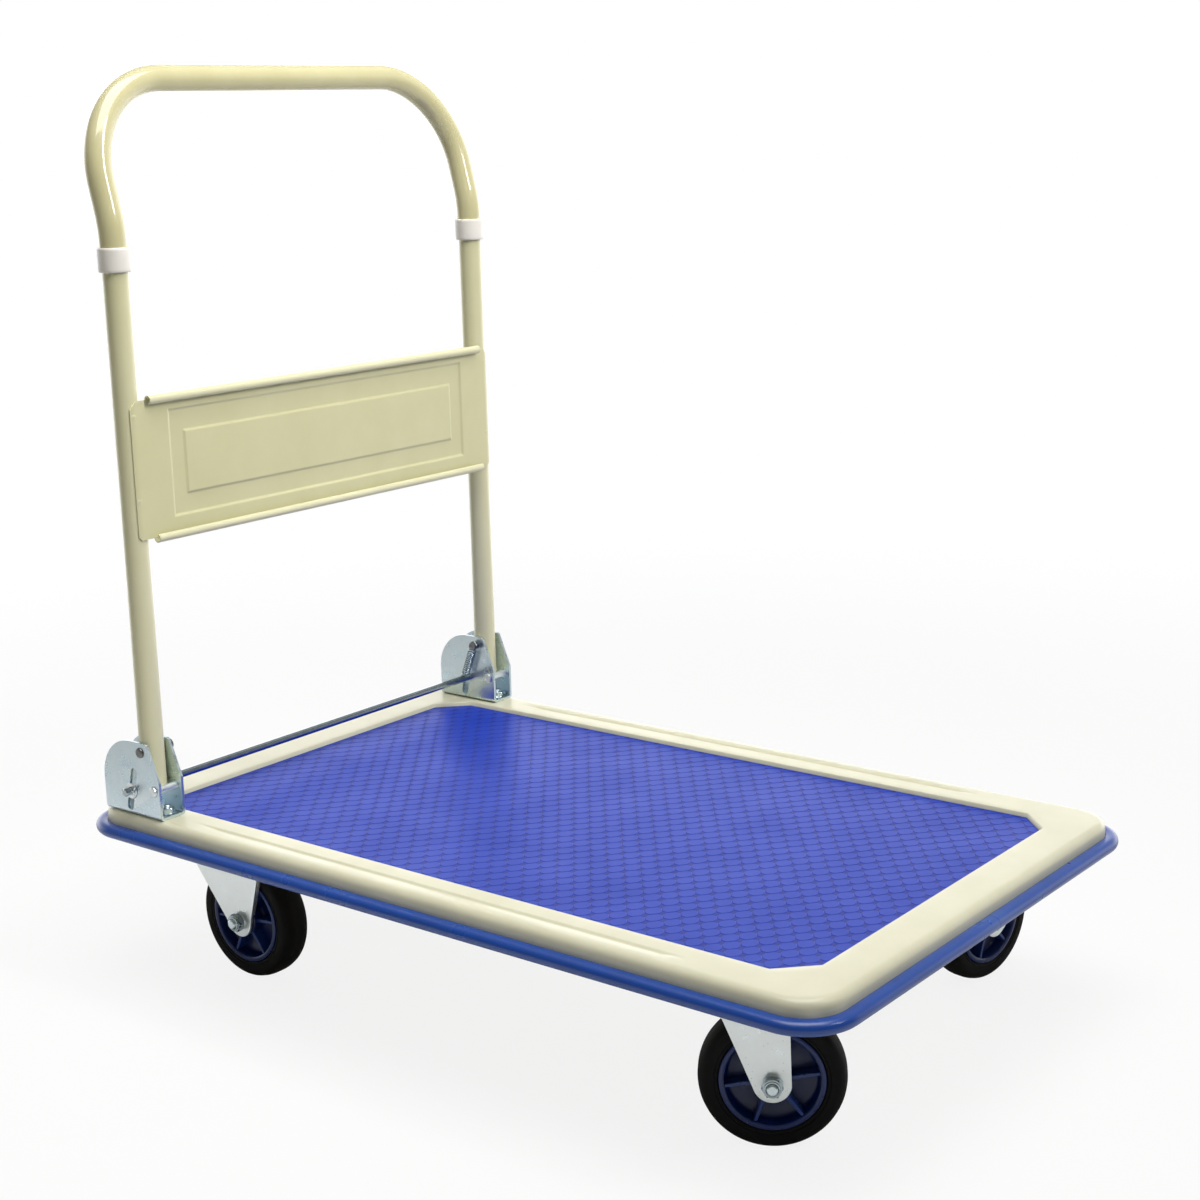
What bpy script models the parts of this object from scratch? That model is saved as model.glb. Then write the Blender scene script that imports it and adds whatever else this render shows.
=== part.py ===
"""Folding platform trolley: pressed steel deck with a vinyl mat and a PVC bumper, a fold-down tube
handle held upright by a foot-pressed spring bar, two swivel casters in front and two fixed ones
under the handle. Metres, +Z up, +X to the front, origin on the floor under the middle of the deck."""

import math

import bmesh
import bpy
from mathutils import Matrix, Vector

GAP = 0.0003  # left between two pieces that touch

# Deck
DECK_LENGTH = 0.902
DECK_WIDTH = 0.564
DECK_CORNER = 0.040
DECK_SHEET = 0.0015
SKIRT_HEIGHT = 0.0295
EDGE_ROLL = 0.008
BORDER = 0.047  # from the skirt to the mat
MAT_CHAMFER = 0.031
MAT_THICKNESS = 0.003
MAT_SINK = 0.004  # from the border's top down to the mat's
BUMPER_DROP = 0.0142  # from the border's top down to the bumper
BUMPER_HEIGHT = 0.0132
BUMPER_DEPTH = 0.013

# Wheels and casters
WHEEL_RADIUS = 0.0655
TYRE_WIDTH = 0.034
RIM_RADIUS = 0.047
RIM_WALL = 0.0065
HUB_RADIUS = 0.0165
HUB_WIDTH = 0.038
WEB_THICKNESS = 0.008
BUSH_WALL = 0.002
AXLE_RADIUS = 0.005
AXLE_CLEARANCE = 0.0004
FORK_WIDTH = 0.042  # between the legs
FORK_SHEET = 0.003
LEG_RADIUS = 0.017  # round the axle
CROWN_CLEARANCE = 0.009  # from the tyre to the crown
TRAIL = 0.036
RACE_RADIUS = 0.029
RACE_HEIGHT = 0.009
KINGPIN_RADIUS = 0.006
PLATE_LENGTH = 0.090
PLATE_WIDTH = 0.074
PLATE_THICKNESS = 0.003
CASTER_INSET_X = 0.139  # from the skirt to the kingpin
CASTER_INSET_Y = 0.077
FIXED_INSET_X = 0.139  # from the skirt to the axle
FIXED_PLATE_SHIFT = 0.015  # from the axle back to the middle of the fixed fork's plate
FIXED_INSET_Y = 0.095
SWIVEL_REST = {"right": 33.0, "left": 81.0}  # degrees from straight, as parked

# Channels under the deck
CHANNEL_DEPTH = 0.024
CHANNEL_WEB = 0.100
CHANNEL_FLANGE = 0.014
CHANNEL_SHEET = 0.002
CHANNEL_INSET = 0.022  # from the skirt to the channel's end
STIFFENER_WEB = 0.030
STIFFENER_Y = 0.125

# Handle
TUBE_RADIUS = 0.0127
TUBE_WALL = 0.0014
HANDLE_INSET_X = 0.0815  # from the skirt to the tubes' axis
HANDLE_INSET_Y = 0.020
PIVOT_HEIGHT = 0.070  # above the border
TUBE_TAIL = 0.0400  # below the pivot, so that its corner clears the lock bar
BEND_HEIGHT = 0.584  # above the border, where the tubes lean back
BEND_RADIUS = 0.140
LEAN = math.radians(14.0)
HANDLE_HEIGHT = 0.743  # the top bar's axis above the border
CORNER_RADIUS = 0.103
SLEEVE_WALL = 0.0008
COLLAR_HEIGHT = 0.024
COLLAR_RADIUS = 0.0162
COLLAR_WALL = 0.0032

# Cross panel
PANEL_BOTTOM = 0.287  # above the border
PANEL_HEIGHT = 0.149
PANEL_SHEET = 0.0012
PANEL_HEM = 0.0045  # radius of its rolled edges
PANEL_WRAP = math.radians(24.0)  # round each tube, outwards of its front

# Folding brackets
BRACKET_SHEET = 0.003
BRACKET_HEIGHT = 0.080
BRACKET_REAR = 0.060  # behind the tubes' axis
BRACKET_FRONT = 0.026  # before it
BRACKET_SHOULDER = 0.042  # where the front edge starts to slope
BRACKET_TIP = 0.011  # before the axis, at the top
PIVOT_RADIUS = 0.004
PIVOT_HEAD = 0.0055
STOP_RADIUS = 0.0042
STOP_HEIGHT = 0.031
HEAD_THICKNESS = 0.0014
BOLT_RADIUS = 0.004
BOLT_X = 0.0165  # before the tubes' axis

# Lock bar and its springs
LOCK_RADIUS = 0.004
LOCK_HEIGHT = 0.0265  # above the border at rest
LOCK_TRAVEL = 0.017
LOCK_RISE = 0.021  # the slots run on above the bar
LOCK_SLOPE = math.radians(14.0)  # the slots lean back towards the bottom
LOCK_END = 0.010  # past the outer plates
SLOT_CLEARANCE = 0.0006
WASHER_RADIUS = 0.0085
WASHER_THICKNESS = 0.0015
SPLIT_PIN_RADIUS = 0.0009
SPRING_WIRE = 0.0007
SPRING_RADIUS = 0.0044
SPRING_TURNS = 10
SPRING_OFFSET = 0.0055  # from the inner plate to the spring's axis

# Heights and places that follow
AXLE_Z = WHEEL_RADIUS
CROWN_Z = 2 * WHEEL_RADIUS + CROWN_CLEARANCE
RACE_Z = CROWN_Z + FORK_SHEET + GAP
PLATE_Z = RACE_Z + RACE_HEIGHT + GAP
CHANNEL_Z = PLATE_Z + PLATE_THICKNESS + GAP
PAN_BOTTOM = CHANNEL_Z + CHANNEL_DEPTH + GAP
PAN_TOP = PAN_BOTTOM + DECK_SHEET
MAT_BOTTOM = PAN_TOP + GAP
DECK_TOP = MAT_BOTTOM + MAT_THICKNESS + MAT_SINK
MAT_LENGTH = DECK_LENGTH - 2 * BORDER
MAT_WIDTH = DECK_WIDTH - 2 * BORDER
TUBE_X = -DECK_LENGTH / 2 + HANDLE_INSET_X
TUBE_Y = DECK_WIDTH / 2 - HANDLE_INSET_Y
PIVOT_Z = DECK_TOP + PIVOT_HEIGHT
INNER_PLATE = TUBE_RADIUS + 2 * GAP  # from a tube's axis to the bracket's plates
OUTER_PLATE = INNER_PLATE + BRACKET_SHEET
LOCK_X = TUBE_X - TUBE_RADIUS - LOCK_RADIUS - GAP
LOCK_Z = DECK_TOP + LOCK_HEIGHT
SIDES = {"left": 1, "right": -1}

COLOURS = {
    "cream": ((0.72, 0.70, 0.55), 0.35, 0.0),
    "blue_vinyl": ((0.035, 0.06, 0.42), 0.5, 0.0),
    "blue_pvc": ((0.02, 0.10, 0.42), 0.35, 0.0),
    "zinc": ((0.62, 0.66, 0.68), 0.3, 1.0),
    "steel": ((0.5, 0.5, 0.5), 0.35, 1.0),
    "rubber": ((0.02, 0.02, 0.02), 0.7, 0.0),
    "navy_plastic": ((0.01, 0.03, 0.14), 0.4, 0.0),
    "white_plastic": ((0.8, 0.8, 0.8), 0.4, 0.0),
}


def clear_scene():
    for item in list(bpy.data.objects):
        bpy.data.objects.remove(item, do_unlink=True)


def material(name):
    made = bpy.data.materials.get(name)
    if made is None:
        colour, roughness, metallic = COLOURS[name]
        made = bpy.data.materials.new(name)
        made.use_nodes = True
        shader = made.node_tree.nodes["Principled BSDF"]
        shader.inputs["Base Color"].default_value = (*colour, 1.0)
        shader.inputs["Roughness"].default_value = roughness
        shader.inputs["Metallic"].default_value = metallic
    return made


def finish(name, mesh_data, colour, parent=None, location=(0, 0, 0), round_shading=True):
    """Puts a bmesh into a named object."""
    bmesh.ops.recalc_face_normals(mesh_data, faces=mesh_data.faces)
    mesh = bpy.data.meshes.new(name)
    mesh_data.to_mesh(mesh)
    mesh_data.free()
    if round_shading:
        mesh.shade_smooth()
        mesh.set_sharp_from_angle(angle=math.radians(35))
    made = bpy.data.objects.new(name, mesh)
    made.data.materials.append(material(colour))
    made.location = location
    made.parent = parent
    bpy.context.scene.collection.objects.link(made)
    return made


def empty(name, location, turn=0.0, parent=None):
    made = bpy.data.objects.new(name, None)
    made.location = location
    made.rotation_euler = (0, 0, turn)
    made.parent = parent
    bpy.context.scene.collection.objects.link(made)
    return made


def boolean(target, tool, operation):
    """Cuts with a tool or joins it, and hides it."""
    tool.hide_render = True
    tool.display_type = "WIRE"
    step = target.modifiers.new(operation.lower(), "BOOLEAN")
    step.operation = operation
    step.solver = "EXACT"
    step.object = tool


def extrude_outline(mesh_data, outline, direction):
    """A closed outline of 3D points pushed along a direction."""
    face = mesh_data.faces.new([mesh_data.verts.new(point) for point in outline])
    pushed = bmesh.ops.extrude_face_region(mesh_data, geom=[face])
    moved = [item for item in pushed["geom"] if isinstance(item, bmesh.types.BMVert)]
    bmesh.ops.translate(mesh_data, verts=moved, vec=direction)


def prism(name, outline, direction, colour, **place):
    mesh_data = bmesh.new()
    extrude_outline(mesh_data, outline, direction)
    return finish(name, mesh_data, colour, **place)


def turned(name, profile, colour, steps=24, **place):
    """A closed (radius, y) profile spun about the local Y axis. Points at radius 0 close on the axis."""
    mesh_data = bmesh.new()
    rim = [mesh_data.verts.new((radius, along, 0)) for radius, along in profile]
    edges = [mesh_data.edges.new((a, b)) for a, b in zip(rim, rim[1:] + rim[:1])
             if a.co.x > 0 or b.co.x > 0]
    bmesh.ops.spin(mesh_data, geom=rim + edges, cent=(0, 0, 0), axis=(0, 1, 0),
                   angle=2 * math.pi, steps=steps, use_merge=True)
    bmesh.ops.remove_doubles(mesh_data, verts=mesh_data.verts, dist=1e-6)
    return finish(name, mesh_data, colour, **place)


def cylinder(name, radius, start, end, colour, steps=20, **place):
    return turned(name, [(0, start), (radius, start), (radius, end), (0, end)], colour, steps, **place)


def stand_up(item):
    """Turns a piece made about Y so that it stands about Z, its start at the top."""
    item.rotation_euler = (-math.pi / 2, 0, 0)
    return item


def ring(centre, side, up, radius, count):
    angles = [2 * math.pi * step / count for step in range(count)]
    return [centre + radius * (math.cos(angle) * side + math.sin(angle) * up) for angle in angles]


def swept_rings(path, radius, count, side_hint):
    """Circles square to a path of points, without twist."""
    side = Vector(side_hint)
    rings = []
    for index, point in enumerate(path):
        before = path[max(index - 1, 0)]
        after = path[min(index + 1, len(path) - 1)]
        ahead = (after - before).normalized()
        side = (side - side.dot(ahead) * ahead).normalized()
        rings.append(ring(point, side, ahead.cross(side), radius, count))
    return rings


def bridge(mesh_data, rings, closed=False):
    """Quads from each ring of points to the next. Returns the rings' vertices."""
    loops = [[mesh_data.verts.new(point) for point in points] for points in rings]
    pairs = list(zip(loops, loops[1:]))
    if closed:
        pairs.append((loops[-1], loops[0]))
    for first, second in pairs:
        for index, corner in enumerate(first):
            following = (index + 1) % len(first)
            mesh_data.faces.new((corner, first[following], second[following], second[index]))
    return loops


def rod(name, path, radius, count, colour, side_hint=(0, 1, 0), **place):
    """A solid wire or bar along a path."""
    mesh_data = bmesh.new()
    loops = bridge(mesh_data, swept_rings(path, radius, count, side_hint))
    mesh_data.faces.new(loops[0])
    mesh_data.faces.new(loops[-1])
    return finish(name, mesh_data, colour, **place)


def tube(name, path, radius, wall, count, colour, side_hint=(0, 1, 0), **place):
    """A hollow tube along a path, open at both ends."""
    mesh_data = bmesh.new()
    outer = swept_rings(path, radius, count, side_hint)
    inner = swept_rings(path, radius - wall, count, side_hint)
    bridge(mesh_data, outer + inner[::-1], closed=True)
    return finish(name, mesh_data, colour, **place)


def arc(centre, radius, start, end, steps):
    """Points (a, b) of an arc in its own plane."""
    angles = [start + (end - start) * step / steps for step in range(steps + 1)]
    return [(centre[0] + radius * math.cos(angle), centre[1] + radius * math.sin(angle))
            for angle in angles]


def rounded_plan(length, width, corner, z, steps=6):
    """A rectangle with round corners at a height, anticlockwise."""
    points = []
    for quarter, (along, across) in enumerate(((1, 1), (-1, 1), (-1, -1), (1, -1))):
        centre = (along * (length / 2 - corner), across * (width / 2 - corner))
        start = quarter * math.pi / 2
        points += [(x, y, z) for x, y in arc(centre, corner, start, start + math.pi / 2, steps)]
    return points


def chamfered_plan(length, width, chamfer, z, steps=6):
    """A rectangle with chamfered corners, with as many points as rounded_plan."""
    points = []
    half = (length / 2, width / 2)
    for index, (along, across) in enumerate(((1, 1), (-1, 1), (-1, -1), (1, -1))):
        first = Vector((along * half[0], across * (half[1] - chamfer), z))
        second = Vector((along * (half[0] - chamfer), across * half[1], z))
        if index % 2:
            first, second = second, first
        points += [first.lerp(second, step / steps) for step in range(steps + 1)]
    return points


def hex_prism(name, across_flats, start, end, bore, colour, **place):
    """A nut about the local Y axis. Its bore is 0 for a bolt's head."""
    mesh_data = bmesh.new()
    corners = 6 if not bore else 24
    rings = []
    for along in (start, end):
        points = []
        for step in range(corners):
            angle = 2 * math.pi * step / corners
            off_flat = (angle + math.pi / 6) % (math.pi / 3) - math.pi / 6
            reach = across_flats / 2 / math.cos(math.pi / 6 - abs(off_flat))
            points.append((reach * math.cos(angle), along, reach * math.sin(angle)))
        rings.append(points)
    for along in (end, start):
        rings.append([(bore * math.cos(2 * math.pi * step / corners), along,
                       bore * math.sin(2 * math.pi * step / corners)) for step in range(corners)])
    bridge(mesh_data, rings, closed=True)
    return finish(name, mesh_data, colour, **place)


# Deck ----------------------------------------------------------------------------------------


def deck_skin(offset):
    """Rings of the pressed sheet from its pan to the skirt's lower edge, on the top face or inside."""
    top = DECK_TOP - offset
    pan = PAN_TOP - offset
    roll = EDGE_ROLL - offset
    length, width = DECK_LENGTH - 2 * offset, DECK_WIDTH - 2 * offset
    mat_length, mat_width = MAT_LENGTH + 2 * offset, MAT_WIDTH + 2 * offset
    rings = [chamfered_plan(mat_length, mat_width, MAT_CHAMFER, pan),
             chamfered_plan(mat_length, mat_width, MAT_CHAMFER, top)]
    for inset, height in arc((roll, top - roll), roll, math.pi / 2, math.pi, 4):
        rings.append(rounded_plan(length - 2 * inset, width - 2 * inset, DECK_CORNER - offset - inset, height))
    rings.append(rounded_plan(length, width, DECK_CORNER - offset, DECK_TOP - SKIRT_HEIGHT))
    return rings


def make_deck():
    mesh_data = bmesh.new()
    loops = bridge(mesh_data, deck_skin(0) + deck_skin(DECK_SHEET)[::-1])
    mesh_data.faces.new(loops[0])
    mesh_data.faces.new(loops[-1])
    panel = finish("deck_panel", mesh_data, "cream")
    for side, sign in SIDES.items():
        hole = cylinder(f"cut_{side}_bolt", BOLT_RADIUS + GAP, -0.01, 0.01, "steel", steps=12,
                        location=(TUBE_X + BOLT_X, sign * TUBE_Y, DECK_TOP))
        boolean(panel, stand_up(hole), "DIFFERENCE")
    prism("deck_mat", chamfered_plan(MAT_LENGTH - 2 * GAP, MAT_WIDTH - 2 * GAP, MAT_CHAMFER, MAT_BOTTOM),
          (0, 0, MAT_THICKNESS), "blue_vinyl")


def make_bumper():
    """A D-shaped strip all round the skirt."""
    mesh_data = bmesh.new()
    middle = DECK_TOP - BUMPER_DROP - BUMPER_HEIGHT / 2
    half = BUMPER_HEIGHT / 2
    profile = [(GAP, middle - half), (GAP, middle + half)]
    for step in range(7):
        angle = math.pi / 2 - math.pi * step / 6
        profile.append((BUMPER_DEPTH - half + half * math.cos(angle), middle + half * math.sin(angle)))
    rings = [rounded_plan(DECK_LENGTH + 2 * out, DECK_WIDTH + 2 * out, DECK_CORNER + out, z, steps=8)
             for out, z in profile]
    bridge(mesh_data, rings, closed=True)
    finish("edge_bumper", mesh_data, "blue_pvc")


def hat_section(web):
    """A channel's section: web below, flanges out at the top, as (across, height)."""
    half, sheet, top = web / 2, CHANNEL_SHEET, CHANNEL_DEPTH
    outer = half + CHANNEL_FLANGE
    right = [(half, 0), (half, top - sheet), (outer, top - sheet), (outer, top), (half - sheet, top),
             (half - sheet, sheet)]
    return right + [(-across, height) for across, height in reversed(right)]


def make_channels():
    length = DECK_WIDTH - 2 * CHANNEL_INSET
    caster_x = DECK_LENGTH / 2 - CASTER_INSET_X
    fixed_x = -DECK_LENGTH / 2 + FIXED_INSET_X - FIXED_PLATE_SHIFT
    for name, x in (("front_cross_channel", caster_x), ("rear_cross_channel", fixed_x)):
        outline = [(x + across, -length / 2, CHANNEL_Z + height) for across, height in hat_section(CHANNEL_WEB)]
        prism(name, outline, (0, length, 0), "cream", round_shading=False)
    reach = CHANNEL_WEB / 2 + CHANNEL_FLANGE + GAP
    start, end = fixed_x + reach, caster_x - reach
    for side, sign in SIDES.items():
        outline = [(start, sign * STIFFENER_Y + across, CHANNEL_Z + height)
                   for across, height in hat_section(STIFFENER_WEB)]
        prism(f"{side}_stiffener", outline, (end - start, 0, 0), "cream", round_shading=False)


# Folding brackets ----------------------------------------------------------------------------


def bracket_outline():
    """A side plate's outline as (x, z) from the tubes' axis and the border's top."""
    top_front = (BRACKET_TIP, BRACKET_HEIGHT)
    points = [(-BRACKET_REAR, GAP), (BRACKET_FRONT, GAP), (BRACKET_FRONT, BRACKET_SHOULDER), top_front]
    radius = (BRACKET_REAR + BRACKET_TIP) * 0.62
    centre = (-BRACKET_REAR + radius, BRACKET_HEIGHT - radius)
    return points + arc(centre, radius, math.pi / 2, math.pi, 8)


def lock_axis():
    """The unit direction in which the lock bar is pressed."""
    return Vector((-math.sin(LOCK_SLOPE), 0, -math.cos(LOCK_SLOPE)))


def slot_cutter(name, y):
    """The stadium that the lock bar travels in."""
    radius = LOCK_RADIUS + SLOT_CLEARANCE
    along = lock_axis()
    across = Vector((along.z, 0, -along.x))
    centre = Vector((LOCK_X, y, LOCK_Z))
    outline = []
    for distance, start in ((LOCK_TRAVEL + SLOT_CLEARANCE, 0.0), (-LOCK_RISE, math.pi)):
        end = centre + distance * along
        outline += [end + x * across + z * along for x, z in arc((0, 0), radius, start, start + math.pi, 8)]
    reach = 4 * TUBE_RADIUS
    return prism(name, [point - Vector((0, reach / 2, 0)) for point in outline], (0, reach, 0), "steel")


def make_bracket(side):
    y = SIDES[side] * TUBE_Y
    plate = [(TUBE_X + x, DECK_TOP + z) for x, z in bracket_outline()]
    body = prism(f"{side}_handle_bracket", [(x, y - OUTER_PLATE, z) for x, z in plate],
                 (0, 2 * OUTER_PLATE, 0), "zinc", round_shading=False)
    inside = bmesh.new()
    bmesh.ops.create_cube(inside, size=1, matrix=Matrix.LocRotScale(
        (TUBE_X, y, DECK_TOP + GAP + BRACKET_SHEET + BRACKET_HEIGHT / 2), None,
        (4 * BRACKET_REAR, 2 * INNER_PLATE, BRACKET_HEIGHT)))
    boolean(body, finish(f"cut_{side}_channel", inside, "steel"), "DIFFERENCE")
    boolean(body, slot_cutter(f"cut_{side}_slot", y), "DIFFERENCE")
    holes = (("pivot", PIVOT_RADIUS, (TUBE_X, y, PIVOT_Z)),
             ("stop", STOP_RADIUS, (stop_x(), y, DECK_TOP + STOP_HEIGHT)))
    for name, radius, place in holes:
        reach = 2 * OUTER_PLATE
        boolean(body, cylinder(f"cut_{side}_{name}", radius + GAP, -reach, reach, "steel", steps=16,
                               location=place), "DIFFERENCE")
    hole = cylinder(f"cut_{side}_base", BOLT_RADIUS + GAP, -0.01, 0.01, "steel", steps=12,
                    location=(TUBE_X + BOLT_X, y, DECK_TOP))
    boolean(body, stand_up(hole), "DIFFERENCE")


def stop_x():
    return TUBE_X + TUBE_RADIUS + STOP_RADIUS + GAP


def headed_pin(name, radius, head, inner_reach, place, sign):
    """A pin through both plates with a head outside and one at its inner end."""
    outer = OUTER_PLATE + GAP
    inner = outer + inner_reach
    profile = [(0, outer + HEAD_THICKNESS), (head * 0.7, outer + HEAD_THICKNESS), (head, outer + HEAD_THICKNESS / 2),
               (head, outer), (radius, outer), (radius, -inner), (head, -inner),
               (head, -inner - HEAD_THICKNESS), (0, -inner - HEAD_THICKNESS)]
    turned(name, [(reach, sign * along) for reach, along in profile], "steel", steps=16, location=place)


def make_pins(side):
    sign = SIDES[side]
    y = sign * TUBE_Y
    headed_pin(f"{side}_pivot_pin", PIVOT_RADIUS, PIVOT_HEAD, SPRING_OFFSET + SPRING_WIRE + GAP,
               (TUBE_X, y, PIVOT_Z), sign)
    headed_pin(f"{side}_stop_pin", STOP_RADIUS, STOP_RADIUS + 0.0012, 0, (stop_x(), y, DECK_TOP + STOP_HEIGHT), sign)


def make_bracket_bolt(side):
    """A bolt from under the border, with its nut on the bracket's base."""
    place = (TUBE_X + BOLT_X, SIDES[side] * TUBE_Y, DECK_TOP)
    under = -DECK_SHEET - GAP
    base = GAP + BRACKET_SHEET + GAP
    nut_height = 0.0065
    head = hex_profile_head(BOLT_RADIUS)
    profile = [(0, -base - nut_height - 0.003), (BOLT_RADIUS, -base - nut_height - 0.003), (BOLT_RADIUS, -under),
               (head, -under), (head, -under + 0.004), (0, -under + 0.004)]
    stand_up(turned(f"{side}_bracket_bolt", profile, "zinc", steps=12, location=place))
    stand_up(hex_prism(f"{side}_bracket_nut", 0.013, -base - nut_height, -base, BOLT_RADIUS + GAP, "zinc",
                       location=place))


def hex_profile_head(radius):
    """The radius of a round head for a bolt of a radius."""
    return 1.8 * radius


# Lock bar ------------------------------------------------------------------------------------


def make_lock_bar():
    half = TUBE_Y + OUTER_PLATE + LOCK_END
    bar = cylinder("lock_bar", LOCK_RADIUS, -half, half, "zinc", steps=16, location=(LOCK_X, 0, LOCK_Z))
    for side, sign in SIDES.items():
        y = sign * (TUBE_Y + OUTER_PLATE)
        washer_end = GAP + WASHER_THICKNESS
        bore = LOCK_RADIUS + GAP
        turned(f"{side}_lock_washer", [(bore, sign * GAP), (WASHER_RADIUS, sign * GAP),
               (WASHER_RADIUS, sign * washer_end), (bore, sign * washer_end)], "zinc",
               location=(LOCK_X, y, LOCK_Z))
        pin_y = y + sign * (washer_end + GAP + SPLIT_PIN_RADIUS + GAP)
        hole = cylinder(f"cut_{side}_split_pin", SPLIT_PIN_RADIUS + GAP, -0.02, 0.02, "steel", steps=10,
                        location=(LOCK_X, pin_y, LOCK_Z))
        hole.rotation_euler = (0, 0, math.pi / 2)
        boolean(bar, hole, "DIFFERENCE")
        make_split_pin(side, pin_y)


def make_split_pin(side, y):
    """A wire with an eye behind the bar and a bent leg before it."""
    reach = LOCK_RADIUS + 0.0035
    eye = 0.0024
    loop = [Vector((LOCK_X - reach - eye + b, y, LOCK_Z + a)) for a, b in
            arc((0, 0), eye, math.radians(420), math.radians(100), 10)]
    leg = [Vector((LOCK_X + reach - 0.002, y, LOCK_Z)), Vector((LOCK_X + reach, y, LOCK_Z + 0.001)),
           Vector((LOCK_X + reach + 0.003, y, LOCK_Z + 0.007))]
    rod(f"{side}_split_pin", loop + leg, SPLIT_PIN_RADIUS, 6, "zinc")


def hook(centre, along, across, radius, leaves):
    """A spring's end loop round a pin, from its open end to where it leaves for the coil."""
    start = math.radians(-130) if leaves else math.radians(50)
    end = math.radians(-330) if leaves else math.radians(-150)
    return [centre + a * along + b * across for a, b in arc((0, 0), radius, start, end, 6)]


def make_spring(side):
    """An extension spring from the pivot pin to the lock bar, beside the inner plate."""
    y = SIDES[side] * (TUBE_Y - OUTER_PLATE - SPRING_OFFSET)
    top = Vector((TUBE_X, y, PIVOT_Z))
    bottom = Vector((LOCK_X, y, LOCK_Z))
    along = (bottom - top).normalized()
    across = Vector((along.z, 0, -along.x))
    length = (bottom - top).length
    loop = LOCK_RADIUS + 2 * GAP + SPRING_WIRE
    tail = loop + 0.003
    steps = 8 * SPRING_TURNS
    coil = []
    for step in range(steps + 1):
        angle = 2 * math.pi * step / 8
        offset = SPRING_RADIUS * (math.cos(angle) * across + math.sin(angle) * Vector((0, 1, 0)))
        coil.append(top + (tail + (length - 2 * tail) * step / steps) * along + offset)
    upper = hook(top, along, across, loop, True)
    lower = [bottom - (point - top).dot(along) * along + (point - top).dot(across) * across
             for point in reversed(upper)]
    rod(f"{side}_lock_spring", upper + coil + lower, SPRING_WIRE, 4, "zinc")


# Handle --------------------------------------------------------------------------------------


def handle_half(sign, start_z):
    """One half of the handle's centre line, from a height on the upright to the middle of the bar."""
    y = sign * TUBE_Y
    bend_z = DECK_TOP + BEND_HEIGHT
    lean = Vector((-math.sin(LEAN), 0, math.cos(LEAN)))
    points = [Vector((TUBE_X, y, start_z))]
    points += [Vector((TUBE_X - BEND_RADIUS * (1 - math.cos(angle)), y, bend_z + BEND_RADIUS * math.sin(angle)))
               for angle in (LEAN * step / 4 for step in range(5))]
    rise = DECK_TOP + HANDLE_HEIGHT - points[-1].z
    corner = points[-1] + (rise / math.cos(LEAN) - CORNER_RADIUS) * lean
    inward = Vector((0, -sign, 0))
    points += [corner + CORNER_RADIUS * ((1 - math.cos(angle)) * inward + math.sin(angle) * lean)
               for angle in (math.pi / 2 * step / 8 for step in range(9))]
    return points


def handle_path(start_z):
    left, right = handle_half(1, start_z), handle_half(-1, start_z)
    return left + right[::-1]


def make_handle():
    tube_part = tube("handle_tube", handle_path(PIVOT_Z - TUBE_TAIL), TUBE_RADIUS, TUBE_WALL, 12, "cream")
    hole = cylinder("cut_tube_pivot", PIVOT_RADIUS + GAP, -DECK_WIDTH, DECK_WIDTH, "steel", steps=16,
                    location=(TUBE_X, 0, PIVOT_Z))
    boolean(tube_part, hole, "DIFFERENCE")
    collar_top = DECK_TOP + BEND_HEIGHT - 0.002
    sleeve = SLEEVE_WALL + GAP
    tube("grip_sleeve", handle_path(collar_top + GAP), TUBE_RADIUS + sleeve, SLEEVE_WALL, 12, "cream")
    for side, sign in SIDES.items():
        ends = [Vector((TUBE_X, sign * TUBE_Y, z)) for z in (collar_top - COLLAR_HEIGHT, collar_top)]
        tube(f"{side}_collar", ends, COLLAR_RADIUS, COLLAR_WALL, 24, "white_plastic", side_hint=(1, 0, 0))


def hem_section(bottom):
    """A rolled edge's section as (x, z) from the sheet's middle plane, curling to the front."""
    outer, inner = PANEL_HEM, PANEL_HEM - PANEL_SHEET
    sign = -1 if bottom else 1
    centre = (PANEL_HEM - PANEL_SHEET / 2, 0)
    start, end = math.pi, math.radians(-70)
    curl = arc(centre, outer, start, end, 12) + arc(centre, inner, end, start, 12)
    tail = [(PANEL_SHEET / 2, -0.012), (-PANEL_SHEET / 2, -0.012)]
    return [(x, sign * z) for x, z in curl + tail]


def make_panel():
    """The sheet between the uprights: it wraps their front sides, and its long edges are rolled."""
    clear = TUBE_RADIUS + GAP
    outer = clear + PANEL_SHEET
    start_z = DECK_TOP + PANEL_BOTTOM + PANEL_HEM
    height = PANEL_HEIGHT - 2 * PANEL_HEM
    outline = []
    for sign in (1, -1):
        turn = [math.pi / 2 - PANEL_WRAP, math.pi / 2]
        if sign < 0:
            turn = [math.pi / 2, math.pi / 2 + PANEL_WRAP]
        outline += [(b, a) for a, b in arc((sign * TUBE_Y, 0), outer, turn[0], turn[1], 4)]
    for sign in (-1, 1):
        turn = [math.pi / 2 + PANEL_WRAP, math.pi / 2]
        if sign > 0:
            turn = [math.pi / 2, math.pi / 2 - PANEL_WRAP]
        outline += [(b, a) for a, b in arc((sign * TUBE_Y, 0), clear, turn[0], turn[1], 4)]
    sheet = prism("handle_panel", [(TUBE_X + x, y, start_z) for x, y in outline], (0, 0, height), "cream")
    hem_half = TUBE_Y - TUBE_RADIUS - 2 * GAP
    for name, bottom, z in (("bottom", True, start_z), ("top", False, start_z + height)):
        section = [(TUBE_X + clear + PANEL_SHEET / 2 + x, -hem_half, z + height_off)
                   for x, height_off in hem_section(bottom)]
        hem = prism(f"join_{name}_hem", section, (0, 2 * hem_half, 0), "cream")
        boolean(sheet, hem, "UNION")


# Casters -------------------------------------------------------------------------------------


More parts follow.
